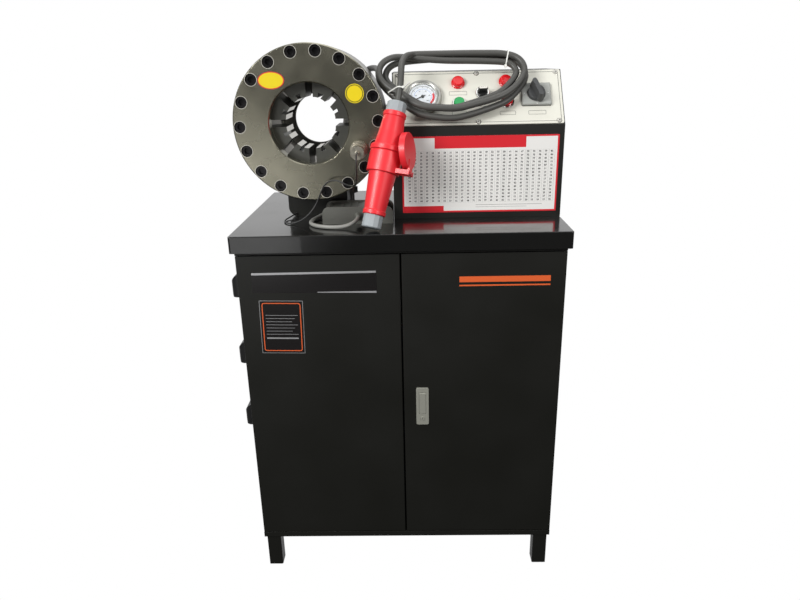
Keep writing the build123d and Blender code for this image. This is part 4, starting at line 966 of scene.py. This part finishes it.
def tie(name, first, second, turn_of_head, loose):
    """A strap round the cable at two places, with the angle of its catch and the length of its loose end."""
    here = nearest(first)
    along = (supply_points[here + 1] - supply_points[here - 1]).normalized()
    start = supply_points[here]
    across = (supply_points[nearest(second)] - start)
    across -= along * across.dot(along)
    half = across.length / 2 / MM
    place = place_at(start + across / 2, across, along.cross(across))
    loops = []
    for radius in (STRAP_OUT, STRAP_IN):
        turns_round = [2 * math.pi * (step + 0.5) / 40 for step in range(40)]
        loops.append([(math.copysign(half, math.cos(t)) + radius * math.cos(t), radius * math.sin(t))
                      for t in turns_round])
    strap = band(*loops, -STRAP_HALF, STRAP_HALF)
    angle = math.radians(turn_of_head)
    head_x = math.copysign(half, math.cos(angle)) + CATCH_OUT * math.cos(angle)
    head_y = CATCH_OUT * math.sin(angle)
    catch = moved(bar(-2.0, 2.0, -2.2, 2.2, -2.4, 2.4), head_x, head_y, turn_of_head)
    end = moved(bar(0.0, loose, -0.5, 0.5, -1.5, 1.5), head_x, head_y, turn_of_head + 25)
    return piece(name, place, [strap, catch, end], tie_white)


tie("right_tie", bench(219.0, 190.0, 313.0), bench(212.0, 195.0, 330.0), 200.0, 9.0)
tie("left_tie", bench(4.5, 111.0, 272.0), bench(-5.0, 145.0, 264.7), 160.0, 34.0)

# %% [markdown]
# ## Camera and light
# The camera stands a metre and a half in front of the machine's middle and about thirty centimetres above
# its worktop. It looks down by about twenty degrees, so that the worktop shows. The lens is moderately wide.
# The camera's turn is built from three plain angles, because those can be measured and corrected one by one,
# and a matrix of nine numbers can't.

# %% Camera in front of the machine
EYE = (0.0394, -1.5067, 1.1223)
LENS = 29.96
YAW, PITCH, ROLL = 0.0227314, 0.3425956, -0.0220290
camera_data = bpy.data.cameras.new("camera")
camera_data.sensor_width = 36.0
camera_data.lens = LENS
camera = bpy.data.objects.new("camera", camera_data)
bpy.context.scene.collection.objects.link(camera)
turn = Matrix(((math.cos(YAW), math.sin(YAW), 0), (-math.sin(YAW), math.cos(YAW), 0), (0, 0, 1)))
ahead = Matrix(((1, 0, 0), (0, 0, -1), (0, 1, 0)))
nod = Matrix(((1, 0, 0), (0, math.cos(PITCH), -math.sin(PITCH)), (0, math.sin(PITCH), math.cos(PITCH))))
tilt = Matrix(((math.cos(ROLL), -math.sin(ROLL), 0), (math.sin(ROLL), math.cos(ROLL), 0), (0, 0, 1)))
view = tilt @ nod @ ahead @ turn
axes = Matrix((view[0], -view[1], -view[2])).transposed()
camera.matrix_world = Matrix.Translation(EYE) @ axes.to_4x4()
bpy.context.scene.camera = camera
bpy.context.scene.view_settings.view_transform = "Standard"
print("camera at", EYE, "with a lens of", LENS, "mm")

# %% [markdown]
# The room is plain white to the camera. To the machine it is dimmer in front than above and behind, as a
# studio is, so the black paint and the steel have something dark to reflect. One even white would wash them
# out.

# %% Surroundings
world = bpy.data.worlds.new("studio")
world.use_nodes = True
tree = world.node_tree
backdrop = tree.nodes["Background"]
backdrop.inputs["Color"].default_value = (1.0, 1.0, 1.0, 1.0)
backdrop.inputs["Strength"].default_value = 1.0
studio = tree.nodes.new("ShaderNodeBackground")
where = tree.nodes.new("ShaderNodeTexCoord")
split = tree.nodes.new("ShaderNodeSeparateXYZ")
tree.links.new(where.outputs["Generated"], split.inputs["Vector"])
above = map_range(tree, split.outputs["Z"], -0.1, 0.9, 0.09, 0.55)
behind = map_range(tree, split.outputs["Y"], 0.1, 0.8, 0.0, 0.75)
both = tree.nodes.new("ShaderNodeMath")
both.operation = "ADD"
tree.links.new(above, both.inputs[0])
tree.links.new(behind, both.inputs[1])
tree.links.new(both.outputs["Value"], studio.inputs["Strength"])
rays = tree.nodes.new("ShaderNodeLightPath")
either = tree.nodes.new("ShaderNodeMath")
either.operation = "MAXIMUM"
tree.links.new(rays.outputs["Is Camera Ray"], either.inputs[0])
tree.links.new(rays.outputs["Is Transmission Ray"], either.inputs[1])
choose = tree.nodes.new("ShaderNodeMixShader")
tree.links.new(either.outputs["Value"], choose.inputs["Fac"])
tree.links.new(studio.outputs["Background"], choose.inputs[1])
tree.links.new(backdrop.outputs["Background"], choose.inputs[2])
tree.links.new(choose.outputs["Shader"], tree.nodes["World Output"].inputs["Surface"])
bpy.context.scene.world = world
print("nodes of the world:", len(tree.nodes))

# %% [markdown]
# Soft boxes are large lamps, whose light wraps round a shape. The key stands high at the left, the fill
# opposite it keeps the right side readable, and one overhead draws the top edges. The low one is only there
# to be seen in the lower left of the steel ring. Small lamps would leave hard shadows and hot spots.


# %% Soft boxes
def soft_box(name, spot, target, width, height_m, power):
    """A rectangular lamp that looks at a point."""
    data = bpy.data.lights.new(name, "AREA")
    data.shape = "RECTANGLE"
    data.size = width
    data.size_y = height_m
    data.energy = power
    lamp = bpy.data.objects.new(name, data)
    bpy.context.scene.collection.objects.link(lamp)
    look = (Vector(target) - Vector(spot)).to_track_quat("-Z", "Y")
    lamp.matrix_world = Matrix.Translation(spot) @ look.to_matrix().to_4x4()
    return lamp


soft_box("key_light", (-1.9, -2.2, 2.25), (0.0, 0.0, 0.8), 1.3, 1.0, 88.0)
soft_box("fill_light", (1.7, -2.2, 1.9), (0.1, 0.0, 0.7), 1.0, 1.0, 30.0)
soft_box("top_light", (0.1, 0.1, 2.6), (0.0, 0.0, 0.9), 1.6, 1.0, 8.0)
soft_box("low_card", (-1.02, -2.4, 0.42), (-0.17, -0.12, 1.0), 0.9, 0.6, 2.7)
print("lamps:", len(bpy.data.lights))
